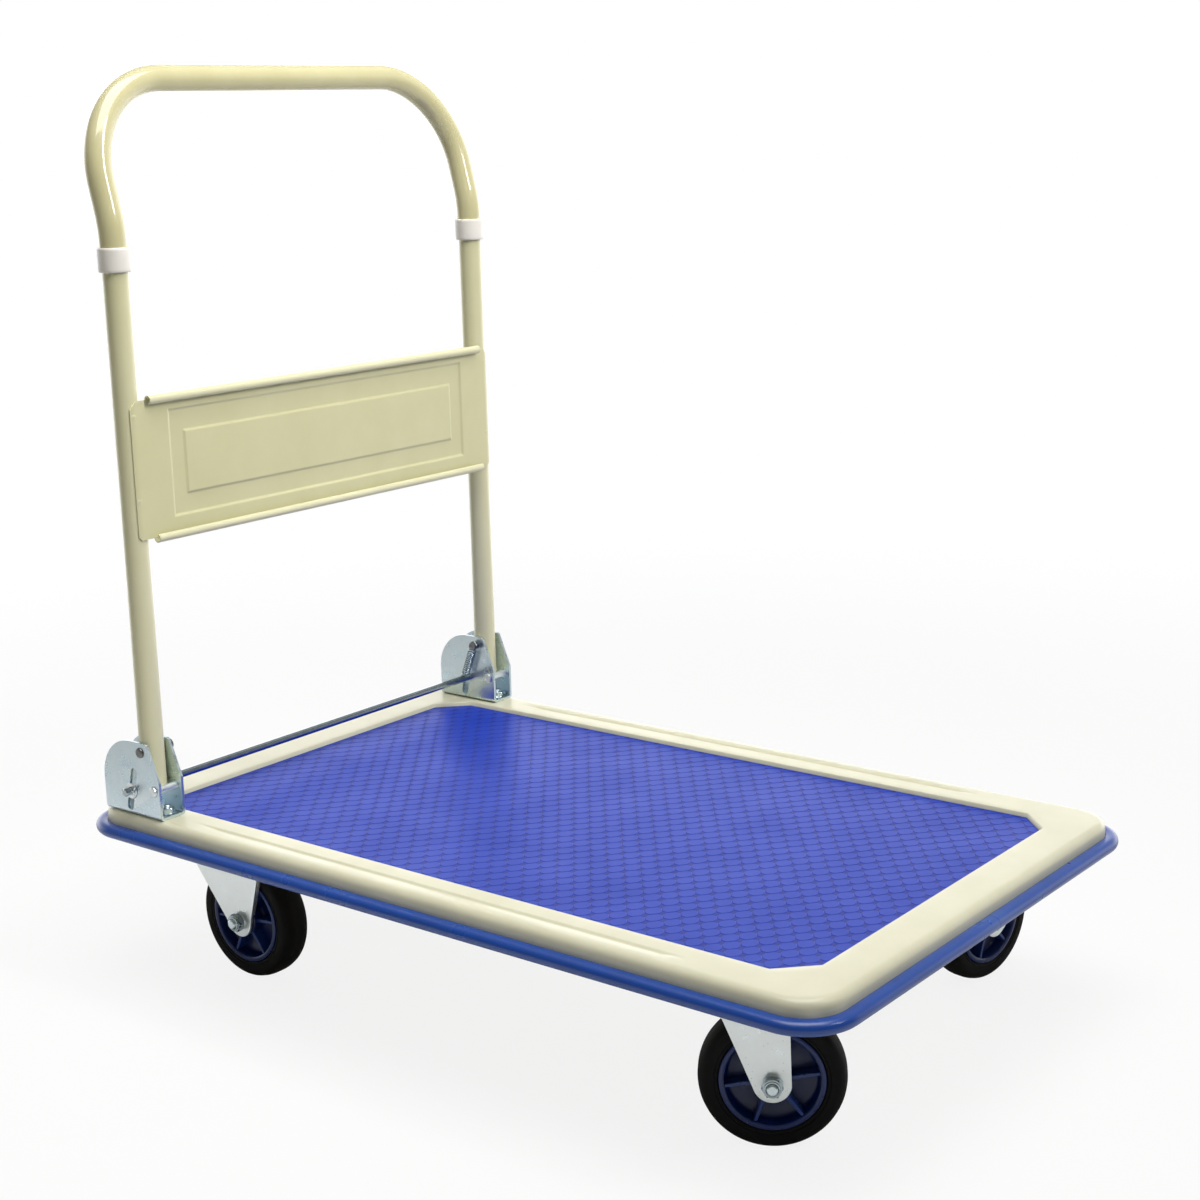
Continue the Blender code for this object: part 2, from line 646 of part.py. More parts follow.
def make_wheel(name, parent):
    """A wheel about the local Y axis of its parent: tyre, rim, bush, axle bolt and nut."""
    half = TYRE_WIDTH / 2
    shoulder = 0.008
    tyre = [(RIM_RADIUS + GAP, -half + 0.002), (RIM_RADIUS + 0.006, -half)]
    tyre += [(WHEEL_RADIUS - shoulder + a, -half + shoulder - b) for a, b in
             arc((0, 0), shoulder, math.pi / 2, 0, 3)]
    tyre += [(WHEEL_RADIUS - shoulder + a, half - shoulder + b) for a, b in
             arc((0, 0), shoulder, 0, math.pi / 2, 3)]
    tyre += [(RIM_RADIUS + 0.006, half), (RIM_RADIUS + GAP, half - 0.002)]
    turned(f"{name}_tyre", tyre, "rubber", steps=32, parent=parent)
    bore = AXLE_RADIUS + AXLE_CLEARANCE + BUSH_WALL + AXLE_CLEARANCE
    web = WEB_THICKNESS / 2
    seat = RIM_RADIUS - RIM_WALL
    hub = HUB_WIDTH / 2
    rim = [(bore, -hub), (HUB_RADIUS, -hub), (HUB_RADIUS, -web), (seat, -web), (seat, -half), (RIM_RADIUS, -half),
           (RIM_RADIUS, half), (seat, half), (seat, web), (HUB_RADIUS, web), (HUB_RADIUS, hub), (bore, hub)]
    turned(f"{name}_rim", rim, "navy_plastic", steps=24, parent=parent)
    inner = AXLE_RADIUS + AXLE_CLEARANCE
    end = FORK_WIDTH / 2 - GAP
    bush = [(inner, -end), (inner + BUSH_WALL, -end), (inner + BUSH_WALL, end), (inner, end)]
    turned(f"{name}_axle_bush", bush, "steel", steps=16, parent=parent)


def make_axle(name, parent, sign):
    """A bolt through both legs, its nut on the side that sign gives."""
    face = FORK_WIDTH / 2 + FORK_SHEET + GAP
    nut_height = 0.008
    tip = face + nut_height + 0.004
    head = 0.0085
    profile = [(0, -face - 0.006), (head, -face - 0.006), (head, -face), (AXLE_RADIUS, -face), (AXLE_RADIUS, tip),
               (0, tip)]
    turned(f"{name}_axle_bolt", [(radius, sign * along) for radius, along in profile], "zinc", steps=16,
           parent=parent)
    hex_prism(f"{name}_axle_nut", 0.017, sign * face, sign * (face + nut_height), AXLE_RADIUS + GAP, "zinc",
              parent=parent)


def fork_legs(name, side_outline, colour, parent, hollow_front, hollow_rear, crown_z, tall):
    """Both legs and their crown as a folded U, from a side outline of (x, z) at the axle."""
    half = FORK_WIDTH / 2 + FORK_SHEET
    body = prism(name, [(x, -half, z) for x, z in side_outline], (0, 2 * half, 0), colour, parent=parent,
                 round_shading=False)
    inside = bmesh.new()
    bmesh.ops.create_cube(inside, size=1, matrix=Matrix.LocRotScale(
        ((hollow_front + hollow_rear) / 2, 0, crown_z - tall / 2), None,
        (hollow_front - hollow_rear, FORK_WIDTH, tall)))
    boolean(body, finish(f"cut_{name}_inside", inside, "steel", parent=parent), "DIFFERENCE")
    boolean(body, cylinder(f"cut_{name}_axle", AXLE_RADIUS + GAP, -2 * half, 2 * half, "steel", steps=16,
                           parent=parent), "DIFFERENCE")
    return body


def make_swivel_caster(side):
    sign = SIDES[side]
    name = f"front_{side}"
    place = (DECK_LENGTH / 2 - CASTER_INSET_X, sign * (DECK_WIDTH / 2 - CASTER_INSET_Y), 0)
    head = empty(f"{name}_swivel_axis", place, math.radians(SWIVEL_REST[side]))
    axle = empty(f"{name}_wheel_axis", (TRAIL, 0, AXLE_Z), parent=head)
    make_wheel(name, axle)
    make_axle(name, axle, sign)
    crown = CROWN_Z + FORK_SHEET - AXLE_Z
    outline = [(LEG_RADIUS * 0.9, crown), (-TRAIL - RACE_RADIUS, crown),
               (-TRAIL - RACE_RADIUS, crown - FORK_SHEET - 0.004), (-TRAIL - 0.012, crown - 0.012)]
    outline += arc((0, 0), LEG_RADIUS, math.radians(200), math.radians(360), 8)
    fork = fork_legs(f"{name}_fork", outline, "zinc", axle, 0.2, -0.2, CROWN_Z - AXLE_Z, 0.2)
    hole = cylinder(f"cut_{name}_kingpin", KINGPIN_RADIUS + GAP, -0.02, 0.02, "steel", steps=16,
                    location=(-TRAIL, 0, crown), parent=axle)
    boolean(fork, stand_up(hole), "DIFFERENCE")
    bore = KINGPIN_RADIUS + GAP
    race = [(bore, -RACE_Z - RACE_HEIGHT), (RACE_RADIUS - 0.004, -RACE_Z - RACE_HEIGHT), (RACE_RADIUS, -RACE_Z - 0.005),
            (RACE_RADIUS, -RACE_Z), (bore, -RACE_Z)]
    stand_up(turned(f"{name}_bearing_race", race, "zinc", parent=head))
    top_plate(f"{name}_top_plate", place, bore)
    pin_top = PLATE_Z + PLATE_THICKNESS
    low = CROWN_Z - GAP
    pin = [(0, -pin_top), (KINGPIN_RADIUS, -pin_top), (KINGPIN_RADIUS, -low), (1.6 * KINGPIN_RADIUS, -low),
           (1.6 * KINGPIN_RADIUS, -low + 0.004), (0, -low + 0.004)]
    stand_up(turned(f"{name}_kingpin", pin, "steel", steps=16, parent=head))


def top_plate(name, place, bore):
    plate = prism(name, rounded_plan(PLATE_LENGTH, PLATE_WIDTH, 0.008, PLATE_Z, steps=3),
                  (0, 0, PLATE_THICKNESS), "zinc", location=(place[0], place[1], 0))
    hole = cylinder(f"cut_{name}", bore, -0.02, 0.02, "steel", steps=16, location=(place[0], place[1], PLATE_Z))
    boolean(plate, stand_up(hole), "DIFFERENCE")


def make_fixed_caster(side):
    sign = SIDES[side]
    name = f"rear_{side}"
    place = (-DECK_LENGTH / 2 + FIXED_INSET_X, sign * (DECK_WIDTH / 2 - FIXED_INSET_Y), AXLE_Z)
    axle = empty(f"{name}_wheel_axis", place)
    make_wheel(name, axle)
    make_axle(name, axle, sign)
    top = PLATE_Z + PLATE_THICKNESS - AXLE_Z
    reach = PLATE_LENGTH / 2 + 0.003
    middle = -FIXED_PLATE_SHIFT
    outline = [(middle + reach, top), (middle - reach, top), (middle - reach, 0.052)]
    outline += arc((0, 0), LEG_RADIUS, math.radians(205), math.radians(355), 8)
    outline += [(0.024, 0.017), (middle + reach, 0.053)]
    fork_legs(f"{name}_fork", outline, "zinc", axle, 0.2, -0.2, top - PLATE_THICKNESS, 0.2)


def main():
    clear_scene()
    make_deck()
    make_bumper()
    make_channels()
    for side in SIDES:
        make_bracket(side)
        make_pins(side)
        make_bracket_bolt(side)
        make_spring(side)
        make_swivel_caster(side)
        make_fixed_caster(side)
    make_lock_bar()
    make_handle()
    make_panel()


main()
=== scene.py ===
import math

import bmesh
import bpy
from mathutils import Matrix, Vector


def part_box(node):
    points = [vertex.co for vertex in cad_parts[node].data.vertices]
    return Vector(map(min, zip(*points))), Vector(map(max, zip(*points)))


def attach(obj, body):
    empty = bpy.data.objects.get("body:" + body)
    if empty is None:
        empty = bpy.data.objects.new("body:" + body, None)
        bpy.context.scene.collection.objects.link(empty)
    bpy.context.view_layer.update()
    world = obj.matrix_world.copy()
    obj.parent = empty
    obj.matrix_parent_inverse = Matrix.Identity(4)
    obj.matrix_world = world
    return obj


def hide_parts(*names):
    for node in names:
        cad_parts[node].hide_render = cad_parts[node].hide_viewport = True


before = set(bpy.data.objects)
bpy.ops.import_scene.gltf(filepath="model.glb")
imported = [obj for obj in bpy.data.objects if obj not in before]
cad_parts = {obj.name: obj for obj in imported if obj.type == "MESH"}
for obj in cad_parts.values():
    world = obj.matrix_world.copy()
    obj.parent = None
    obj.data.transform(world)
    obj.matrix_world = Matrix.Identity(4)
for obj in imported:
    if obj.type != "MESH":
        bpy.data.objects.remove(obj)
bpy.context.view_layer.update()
print("frame loaded:", len(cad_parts), "nodes")

sides = {"left": 1, "right": -1}
mm = 0.001


def middle(node):
    low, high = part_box(node)
    return (Vector(low) + Vector(high)) / 2


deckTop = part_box("deck_panel")[1].z
deckLow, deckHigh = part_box("deck_panel")
matLow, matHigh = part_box("deck_mat")
pivot = middle("left_pivot_pin")
lock = middle("lock_bar")
tubeX = middle("left_collar").x
tubeY = middle("left_collar").y
pivotZ = pivot.z


# materials

def linear(hexColour):
    # sRGB hex to linear RGBA
    parts = [int(hexColour[i:i + 2], 16) / 255 for i in (1, 3, 5)]
    return [c / 12.92 if c <= 0.04045 else ((c + 0.055) / 1.055) ** 2.4 for c in parts] + [1.0]


def addNode(tree, kind, inputs=(), **settings):
    node = tree.nodes.new(kind)
    for name, value in settings.items():
        setattr(node, name, value)
    for socket, value in dict(inputs).items():
        if isinstance(value, bpy.types.NodeSocket):
            tree.links.new(value, node.inputs[socket])
        else:
            node.inputs[socket].default_value = value
    return node


def surface(name, look):
    # one Principled surface: two close colours, uneven gloss and a fine relief
    made = bpy.data.materials.new(name)
    made.use_nodes = True
    tree = made.node_tree
    tree.nodes.clear()
    place = addNode(tree, "ShaderNodeTexCoord").outputs["Object"]
    drift = addNode(tree, "ShaderNodeTexNoise", {"Vector": place, "Scale": 1 / (look["patch"] * mm),
                                                 "Detail": 3.0, "Roughness": 0.6})
    grain = addNode(tree, "ShaderNodeTexNoise", {"Vector": place, "Scale": 1 / (look["grain"] * mm),
                                                 "Detail": look.get("grainDetail", 2.0)})
    tint = addNode(tree, "ShaderNodeValToRGB", {"Fac": drift.outputs["Fac"]})
    tint.color_ramp.elements[0].position = 0.3
    tint.color_ramp.elements[1].position = 0.7
    tint.color_ramp.elements[0].color = linear(look["colour"])
    tint.color_ramp.elements[1].color = linear(look["second"])
    gloss = addNode(tree, "ShaderNodeMapRange", {"Value": drift.outputs["Fac"], "From Min": 0.3, "From Max": 0.7,
                                                 "To Min": look["rough"][0], "To Max": look["rough"][1]})
    height = grain.outputs["Fac"]
    colour = tint.outputs["Color"]
    if "edgeHighlight" in look:
        # convex edges painted lighter as a painted highlight, read from the shape itself
        edge = addNode(tree, "ShaderNodeNewGeometry").outputs["Pointiness"]
        edgeHighlightMask = addNode(tree, "ShaderNodeMapRange", {"Value": edge, "From Min": 0.52, "From Max": 0.58,
                                                   "To Max": look["edgeHighlightAmount"]})
        mixed = addNode(tree, "ShaderNodeMix", {"Factor": edgeHighlightMask.outputs["Result"]}, data_type="RGBA")
        tree.links.new(colour, mixed.inputs[6])
        mixed.inputs[7].default_value = linear(look["edgeHighlight"])
        colour = mixed.outputs[2]
    if "specks" in look:
        # scattered dull specks, as plating and dust leave
        speck = addNode(tree, "ShaderNodeTexVoronoi", {"Vector": place, "Scale": 1 / (look["speckGap"] * mm)})
        small = addNode(tree, "ShaderNodeMapRange", {"Value": speck.outputs["Distance"], "From Min": 0.05,
                                                     "From Max": 0.10, "To Min": 0.6, "To Max": 0.0})
        mixed = addNode(tree, "ShaderNodeMix", {"Factor": small.outputs["Result"]}, data_type="RGBA")
        tree.links.new(colour, mixed.inputs[6])
        mixed.inputs[7].default_value = linear(look["specks"])
        colour = mixed.outputs[2]
    relief = addNode(tree, "ShaderNodeBump", {"Height": height, "Strength": look["relief"],
                                              "Distance": look.get("depth", 0.1) * mm})
    shader = addNode(tree, "ShaderNodeBsdfPrincipled", {"Base Color": colour, "Roughness": gloss.outputs["Result"],
                                                        "Normal": relief.outputs["Normal"], **look.get("shader", {})})
    addNode(tree, "ShaderNodeOutputMaterial", {"Surface": shader.outputs["BSDF"]})
    return made


looks = {
    # powder-coated steel: baked cream powder, satin with a fine orange peel that breaks up its highlights; its convex
    # edges get a painted highlight
    "powderCoatedSteel": dict(colour="#D0CCA1", second="#CBC79A", patch=60, grain=1.6, rough=(0.30, 0.38),
                              relief=0.25, depth=0.12, edgeHighlight="#E6E3C8", edgeHighlightAmount=0.35,
                              shader={"Coat Weight": 0.35, "Coat Roughness": 0.12}),
    # the same powder on the pressed deck, made paler and greyer as a painted highlight of its lit top; its convex edges
    # get a painted highlight too
    "powderPanPaintedHighlight": dict(colour="#D4D1B6", second="#CECBAF", patch=60, grain=1.6, rough=(0.32, 0.40),
                            relief=0.25, depth=0.12, edgeHighlight="#E6E3CE", edgeHighlightAmount=0.35,
                            shader={"Coat Weight": 0.25, "Coat Roughness": 0.15}),
    # extruded PVC sleeve shrunk on the grip: glossy and a little yellower than the paint
    "glossySleeve": dict(colour="#CBC498", second="#C5BE90", patch=45, grain=3.0, rough=(0.14, 0.20),
                         relief=0.12, depth=0.1, shader={"Coat Weight": 0.8, "Coat Roughness": 0.05}),
    # embossed vinyl, pads: rolled royal blue sheet with a soft broad sheen at low angles
    "embossedVinyl": dict(colour="#1838A9", second="#14339F", patch=90, grain=0.7, rough=(0.38, 0.45),
                          relief=0.3, depth=0.05, grainDetail=4.0,
                          shader={"Specular IOR Level": 0.19}),
    # embossed vinyl, grooves: the same sheet where the roller pressed it in, dull, and darker as a painted shade in the
    # recesses
    "vinylGroovePaintedShade": dict(colour="#132789", second="#112482", patch=90, grain=0.7, rough=(0.44, 0.52),
                        relief=0.3, depth=0.05, shader={"Specular IOR Level": 0.24}),
    # extruded PVC bumper: mid blue, satin, with faint draw lines; its convex edges get a painted highlight
    "extrudedPvc": dict(colour="#11459C", second="#0F3F90", patch=40, grain=2.5, rough=(0.26, 0.34),
                        relief=0.15, depth=0.08, edgeHighlight="#4A74BC", edgeHighlightAmount=0.25,
                        shader={"Coat Weight": 0.25, "Coat Roughness": 0.2}),
    # zinc-plated steel: bright bluish plating, uneven gloss, dull specks, and cut edges painted lighter as a painted
    # highlight
    "zincPlatedSteel": dict(colour="#C6DAE4", second="#D6E5EC", patch=14, grain=0.9, rough=(0.24, 0.36),
                            relief=0.18, depth=0.05, edgeHighlight="#EDF4F6", edgeHighlightAmount=0.6, specks="#8FA0A8", speckGap=5.0,
                            shader={"Metallic": 1.0}),
    # zinc-plated fork sheet: fresher and brighter than the brackets; its convex edges get a painted highlight
    "freshZincSheet": dict(colour="#E9F1F3", second="#F1F6F7", patch=14, grain=0.9, rough=(0.26, 0.38),
                           relief=0.18, depth=0.05, edgeHighlight="#F2F6F7", edgeHighlightAmount=0.5, specks="#A5B2B8", speckGap=6.0,
                           shader={"Metallic": 0.85}),
    # bright drawn steel with a thin plating: darker and glossier than the plates, with hard-edged reflections
    "platedBar": dict(colour="#A3B0B7", second="#B0BCC2", patch=8, grain=0.7, rough=(0.13, 0.20),
                      relief=0.1, depth=0.03, shader={"Metallic": 1.0}),
    # plain steel pins: turned and oiled, darker than the plating
    "turnedSteel": dict(colour="#7C7D7C", second="#8C8C89", patch=6, grain=0.6, rough=(0.30, 0.42),
                        relief=0.2, depth=0.03, shader={"Metallic": 1.0}),
    # rubber tyre: black and matt, its convex edges painted lighter as a painted highlight
    "mouldedRubber": dict(colour="#0A0909", second="#0F0D0E", patch=22, grain=0.8, rough=(0.62, 0.74),
                          relief=0.3, depth=0.08, edgeHighlight="#242223", edgeHighlightAmount=0.4,
                          shader={"Specular IOR Level": 0.18}),
    # moulded polypropylene rim: navy, smooth from the tool; its convex edges, the rib tops among them, get a painted
    # highlight
    "mouldedPolypropylene": dict(colour="#07194E", second="#091F59", patch=18, grain=1.4, rough=(0.26, 0.36),
                                 relief=0.12, depth=0.06, edgeHighlight="#234A9A", edgeHighlightAmount=0.5),
    # moulded polyethylene collar: off-white and waxy
    "mouldedPolyethylene": dict(colour="#E9E4DA", second="#E3DED3", patch=20, grain=1.8, rough=(0.36, 0.44),
                                relief=0.15, depth=0.08),
}
finishes = {name: surface(name, look) for name, look in looks.items()}
print("materials:", len(finishes))


# shape helpers

def arc(centre, radius, start, end, steps):
    turns = [math.radians(start + (end - start) * i / steps) for i in range(steps + 1)]
    return [(centre[0] + radius * math.cos(t), centre[1] + radius * math.sin(t)) for t in turns]


def addPiece(name, shape, finish, body, replaced=(), crease=35, soften=0.0, second=None):
    # one bmesh becomes one named piece that rides on its body
    bmesh.ops.remove_doubles(shape, verts=shape.verts, dist=1e-6)
    bmesh.ops.recalc_face_normals(shape, faces=shape.faces)
    mesh = bpy.data.meshes.new(name)
    shape.to_mesh(mesh)
    shape.free()
    mesh.shade_smooth()
    mesh.set_sharp_from_angle(angle=math.radians(crease))
    mesh.materials.append(finishes[finish])
    if second:
        mesh.materials.append(finishes[second])
    piece = bpy.data.objects.new(name, mesh)
    bpy.context.scene.collection.objects.link(piece)
    if soften:
        rounding = piece.modifiers.new("soften", "BEVEL")
        rounding.width = soften
        rounding.segments = 2
        rounding.limit_method = "ANGLE"
        rounding.angle_limit = math.radians(35)
        rounding.harden_normals = True
    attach(piece, body)
    if replaced:
        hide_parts(*replaced)
    return piece


def skin(shape, rings, around=True, closed=False):
    # quads from each ring of points to the next
    loops = [[shape.verts.new(point) for point in ring] for ring in rings]
    pairs = list(zip(loops, loops[1:])) + ([(loops[-1], loops[0])] if closed else [])
    for first, following in pairs:
        count = len(first)
        for i in range(count if around else count - 1):
            j = (i + 1) % count
            shape.faces.new((first[i], first[j], following[j], following[i]))
    return loops


def lathe(shape, profile, steps, place=Matrix(), sign=1):
    # a closed (radius, along) outline turned about Y, then moved into place
    part = bmesh.new()
    verts = [part.verts.new((radius, sign * along, 0)) for radius, along in profile]
    edges = [part.edges.new((a, b)) for a, b in zip(verts, verts[1:] + verts[:1]) if a.co.x > 0 or b.co.x > 0]
    bmesh.ops.spin(part, geom=verts + edges, cent=(0, 0, 0), axis=(0, 1, 0), angle=2 * math.pi, steps=steps,
                   use_merge=True)
    bmesh.ops.remove_doubles(part, verts=part.verts, dist=1e-6)
    append(shape, part, place)


def append(shape, part, place=Matrix()):
    # adds one bmesh to another through a mesh
    bmesh.ops.recalc_face_normals(part, faces=part.faces)
    passing = bpy.data.meshes.new("passing")
    part.to_mesh(passing)
    part.free()
    passing.transform(place)
    shape.from_mesh(passing)
    bpy.data.meshes.remove(passing)


def sweep(shape, path, radius, count, hint=(0, 1, 0), bore=0.0, closed=False):
    # a round bar along a path, or a tube if it has a bore
    side = Vector(hint)
    rings = {radius: [], bore: []}
    for i, point in enumerate(path):
        before = path[i - 1] if closed or i else path[0]
        after = path[(i + 1) % len(path)] if closed or i + 1 < len(path) else path[-1]
        ahead = (Vector(after) - Vector(before)).normalized()
        side = (side - side.dot(ahead) * ahead).normalized()
        up = ahead.cross(side)
        for reach in {radius, bore} - {0.0}:
            rings[reach].append([Vector(point) + reach * (math.cos(t) * side + math.sin(t) * up)
                                 for t in (2 * math.pi * k / count for k in range(count))])
    if bore:
        skin(shape, rings[radius] + rings[bore][::-1], closed=True)
        return
    loops = skin(shape, rings[radius], closed=closed)
    if not closed:
        shape.faces.new(loops[0])
        shape.faces.new(loops[-1])


def extrude(outline, push):
    # a solid from a closed outline of 3D points
    part = bmesh.new()
    face = part.faces.new([part.verts.new(point) for point in outline])
    grown = bmesh.ops.extrude_face_region(part, geom=[face])
    moved = [item for item in grown["geom"] if isinstance(item, bmesh.types.BMVert)]
    bmesh.ops.translate(part, verts=moved, vec=push)
    bmesh.ops.recalc_face_normals(part, faces=part.faces)
    return part


def carve(part, *cuts):
    # cuts or crosses a solid with others, and gives a clean bmesh
    held = []
    for item in (part,) + tuple(tool for _, tool in cuts):
        mesh = bpy.data.meshes.new("blank")
        bmesh.ops.recalc_face_normals(item, faces=item.faces)
        item.to_mesh(mesh)
        item.free()
        held.append(bpy.data.objects.new("blank", mesh))
        bpy.context.scene.collection.objects.link(held[-1])
    for (operation, _), tool in zip(cuts, held[1:]):
        step = held[0].modifiers.new("cut", "BOOLEAN")
        step.operation = operation
        step.solver = "EXACT"
        step.object = tool
    shaped = held[0].evaluated_get(bpy.context.evaluated_depsgraph_get())
    made = bmesh.new()
    made.from_mesh(shaped.to_mesh())
    shaped.to_mesh_clear()
    for item in held:
        mesh = item.data
        bpy.data.objects.remove(item, do_unlink=True)
        bpy.data.meshes.remove(mesh)
    bmesh.ops.dissolve_limit(made, angle_limit=math.radians(0.5), verts=made.verts, edges=made.edges)
    return made


def drum(radius, start, end, steps=32, place=Matrix()):
    made = bmesh.new()
    lathe(made, [(0, start), (radius, start), (radius, end), (0, end)], steps, place)
    return made


def hexNut(shape, flats, height, bore, place, sign=1, collar=0.0):
    # a hexagon with turned-down corners and a chamfered bore
    count = 48
    corner = flats / 2 / math.cos(math.pi / 6)
    turned = flats / 2 * 1.01

    def ring(radius, along, inner=False):
        points = []
        for k in range(count):
            t = 2 * math.pi * k / count
            off = (t + math.pi / 6) % (math.pi / 3) - math.pi / 6
            reach = flats / 2 / math.cos(math.pi / 6 - abs(off))
            reach = radius if inner else min(reach, radius)
            points.append((reach * math.cos(t), sign * along, reach * math.sin(t)))
        return points

    edge = 0.09 * height + 0.4 * mm
    rings = [ring(turned, 0), ring(corner, edge), ring(corner, height - edge), ring(turned, height)]
    lip = min(0.5 * mm, height / 6)
    if bore:
        rings += [ring(bore + lip, height, True), ring(bore, height - lip, True), ring(bore, lip, True),
                  ring(bore + lip, 0, True)]
    part = bmesh.new()
    loops = skin(part, rings, closed=bool(bore))
    if not bore:
        part.faces.new(loops[0])
        part.faces.new(loops[-1])
    append(shape, part, place)


upright = Matrix.Rotation(-math.pi / 2, 4, "X")  # a turned piece's axis from Y to Z, its start at the top


def at(x, y, z):
    return Matrix.Translation((x, y, z))


# deck: a sheet pressed with a rolled edge, a step down to the mat and a bead along each long border

deck = dict(corner=40 * mm, roll=8 * mm, sheet=1.5 * mm, chamfer=31 * mm, matInset=0.3 * mm, lip=1.1 * mm,
            beadY=19.5 * mm, beadWidth=4.2 * mm, beadDepth=1.6 * mm, beadStart=-297 * mm, beadEnd=292 * mm)
halfX, halfY = deckHigh.x, deckHigh.y
matX, matY = matHigh.x + deck["matInset"], matHigh.y + deck["matInset"]


def plan(alongX, alongY, corner, chamfered=False, count=60, across=36, turns=12):
    # a rectangle with round or chamfered corners as one ring of (x, y), evenly stepped
    points = []
    for quarter, (sx, sy) in enumerate(((1, 1), (-1, 1), (-1, -1), (1, -1))):
        inner = (sx * (alongX - corner), sy * (alongY - corner))
        if chamfered:
            ends = [(sx * alongX, inner[1]), (inner[0], sy * alongY)]
            ends = ends if quarter % 2 == 0 else ends[::-1]
            bend = [tuple(a + (b - a) * i / turns for a, b in zip(*ends)) for i in range(turns + 1)]
        else:
            bend = arc(inner, corner, 90 * quarter, 90 * quarter + 90, turns)
        points += bend
        following = ((-1, 1), (-1, -1), (1, -1), (1, 1))[quarter]
        nextInner = (following[0] * (alongX - corner), following[1] * (alongY - corner))
        start = bend[-1]
        if quarter % 2 == 0:
            end = (nextInner[0], sy * alongY)
            steps = count
        else:
            end = (sx * alongX, nextInner[1])
            steps = across
        points += [tuple(a + (b - a) * i / steps for a, b in zip(start, end)) for i in range(1, steps)]
    return points


def smoothStep(value, low, high):
    t = min(max((value - low) / (high - low), 0), 1)
    return t * t * (3 - 2 * t)


def buildDeck():
    roll = deck["roll"]
    rings = []
    low = matHigh.z - 3.2 * mm
    inward = [(-1.2 * mm, low), (0, low), (0.5 * mm, deckTop - 2.2 * mm)]
    inward += [(mm + a, deckTop + b) for a, b in arc((1.6 * mm, -1.6 * mm), 1.6 * mm, 180, 90, 4)]
    for out, z in inward:
        rings.append([(x, y, z) for x, y in plan(matX + out, matY + out, deck["chamfer"] + 0.6 * out, True)])
    bead, half = deck["beadY"] + 3 * mm, deck["beadWidth"] / 2
    steps = [6 * mm, 12 * mm, 18 * mm, 34 * mm]
    steps += [bead + half * k for k in (-1.8, -1.2, -0.7, -0.35, 0, 0.35, 0.7, 1.2, 1.8)]
    outerX, outerY = halfX - roll, halfY - roll
    innerX, innerY = matX + inward[-1][0], matY + inward[-1][0]
    innerPlan = plan(innerX, innerY, deck["chamfer"] + 1.5 * mm, True)
    outerPlan = plan(outerX, outerY, deck["corner"] - roll)
    for step in sorted(steps):
        t = step / (outerY - innerY)
        ring = []
        for (ax, ay), (bx, by) in zip(innerPlan, outerPlan):
            x, y = ax + (bx - ax) * t, ay + (by - ay) * t
            z = deckTop
            run = smoothStep(x, deck["beadStart"], deck["beadStart"] + 14 * mm)
            run *= 1 - smoothStep(x, deck["beadEnd"] - 14 * mm, deck["beadEnd"])
            dip = max(0.0, 1 - ((step - bead) / (half * 1.5)) ** 2)
            if abs(y) > innerY:
                z -= deck["beadDepth"] * dip * run
            ring.append((x, y, z))
        rings.append(ring)
    for dx, z in arc((roll, deckTop - roll), roll, 90, 180, 8):
        rings.append([(x, y, z) for x, y in plan(halfX - dx, halfY - dx, deck["corner"] - dx)])
    bottom = deckLow.z
    outward = [(0, bottom + 2.2 * mm), (0.35 * mm, bottom + 0.8 * mm), (deck["lip"], bottom + 0.3 * mm),
               (deck["lip"], bottom - 0.3 * mm), (-0.4 * mm, bottom - 0.3 * mm)]
    for out, z in outward:
        rings.append([(x, y, z) for x, y in plan(halfX + out, halfY + out, deck["corner"] + out)])
    sheet = deck["sheet"]
    under = deckTop - sheet
    rings.append([(x, y, bottom + 1.0 * mm) for x, y in plan(halfX - sheet, halfY - sheet, deck["corner"] - sheet)])
    for dx, z in arc((roll, deckTop - roll), roll - sheet, 180, 90, 6):
        rings.append([(x, y, z) for x, y in plan(halfX - dx, halfY - dx, deck["corner"] - dx)])
    rings.append([(x, y, under) for x, y in plan(matX + 4 * mm, matY + 4 * mm, deck["chamfer"] + 2 * mm, True)])
    rings.append([(x, y, low - sheet) for x, y in plan(matX + sheet, matY + sheet, deck["chamfer"] + sheet, True)])
    shape = bmesh.new()
    loops = skin(shape, rings)
    shape.faces.new(loops[0])
    shape.faces.new(loops[-1])
    # soft creases pressed into the skirt where the sheet was drawn round each corner
    for vert in shape.verts:
        x, y, z = vert.co
        past = min(abs(x) - (halfX - deck["corner"]), abs(y) - (halfY - deck["corner"]))
        if past > 0 and z < deckTop - roll and z > bottom - 0.1 * mm:
            turn = math.atan2(abs(y) - (halfY - deck["corner"]), abs(x) - (halfX - deck["corner"]))
            wave = 0.35 * mm * math.sin(turn * 9) * math.sin(turn * 2)
            vert.co.x += wave * math.copysign(math.cos(turn), x)
            vert.co.y += wave * math.copysign(math.sin(turn), y)
    # the deck takes the paler copy of the powder, a painted highlight of its lit top
    return addPiece("pressed_deck", shape, "powderPanPaintedHighlight", "deck", ("deck_panel",), crease=50)


buildDeck()

# mat: a vinyl slab with raised diamond pads between rolled-in marks

mat = dict(pitchX=20.55 * mm, pitchY=25.8 * mm, startX=160 * mm, startY=39.5 * mm, groove=0.55 * mm,
           cutX=2.4 * mm, cutY=3.9 * mm, rise=0.3 * mm, slope=0.5 * mm, edge=0.8 * mm)


def clipped(points, limits):
    # a convex outline cut by half planes (nx, ny, distance)
    for nx, ny, reach in limits:
        kept = []
        for a, b in zip(points, points[1:] + points[:1]):
            da, db = nx * a[0] + ny * a[1] - reach, nx * b[0] + ny * b[1] - reach
            if da <= 0:
                kept.append(a)
            if (da < 0 < db) or (db < 0 < da):
                t = da / (da - db)
                kept.append((a[0] + (b[0] - a[0]) * t, a[1] + (b[1] - a[1]) * t))
        points = kept
        if len(points) < 3:
            return []
    return points


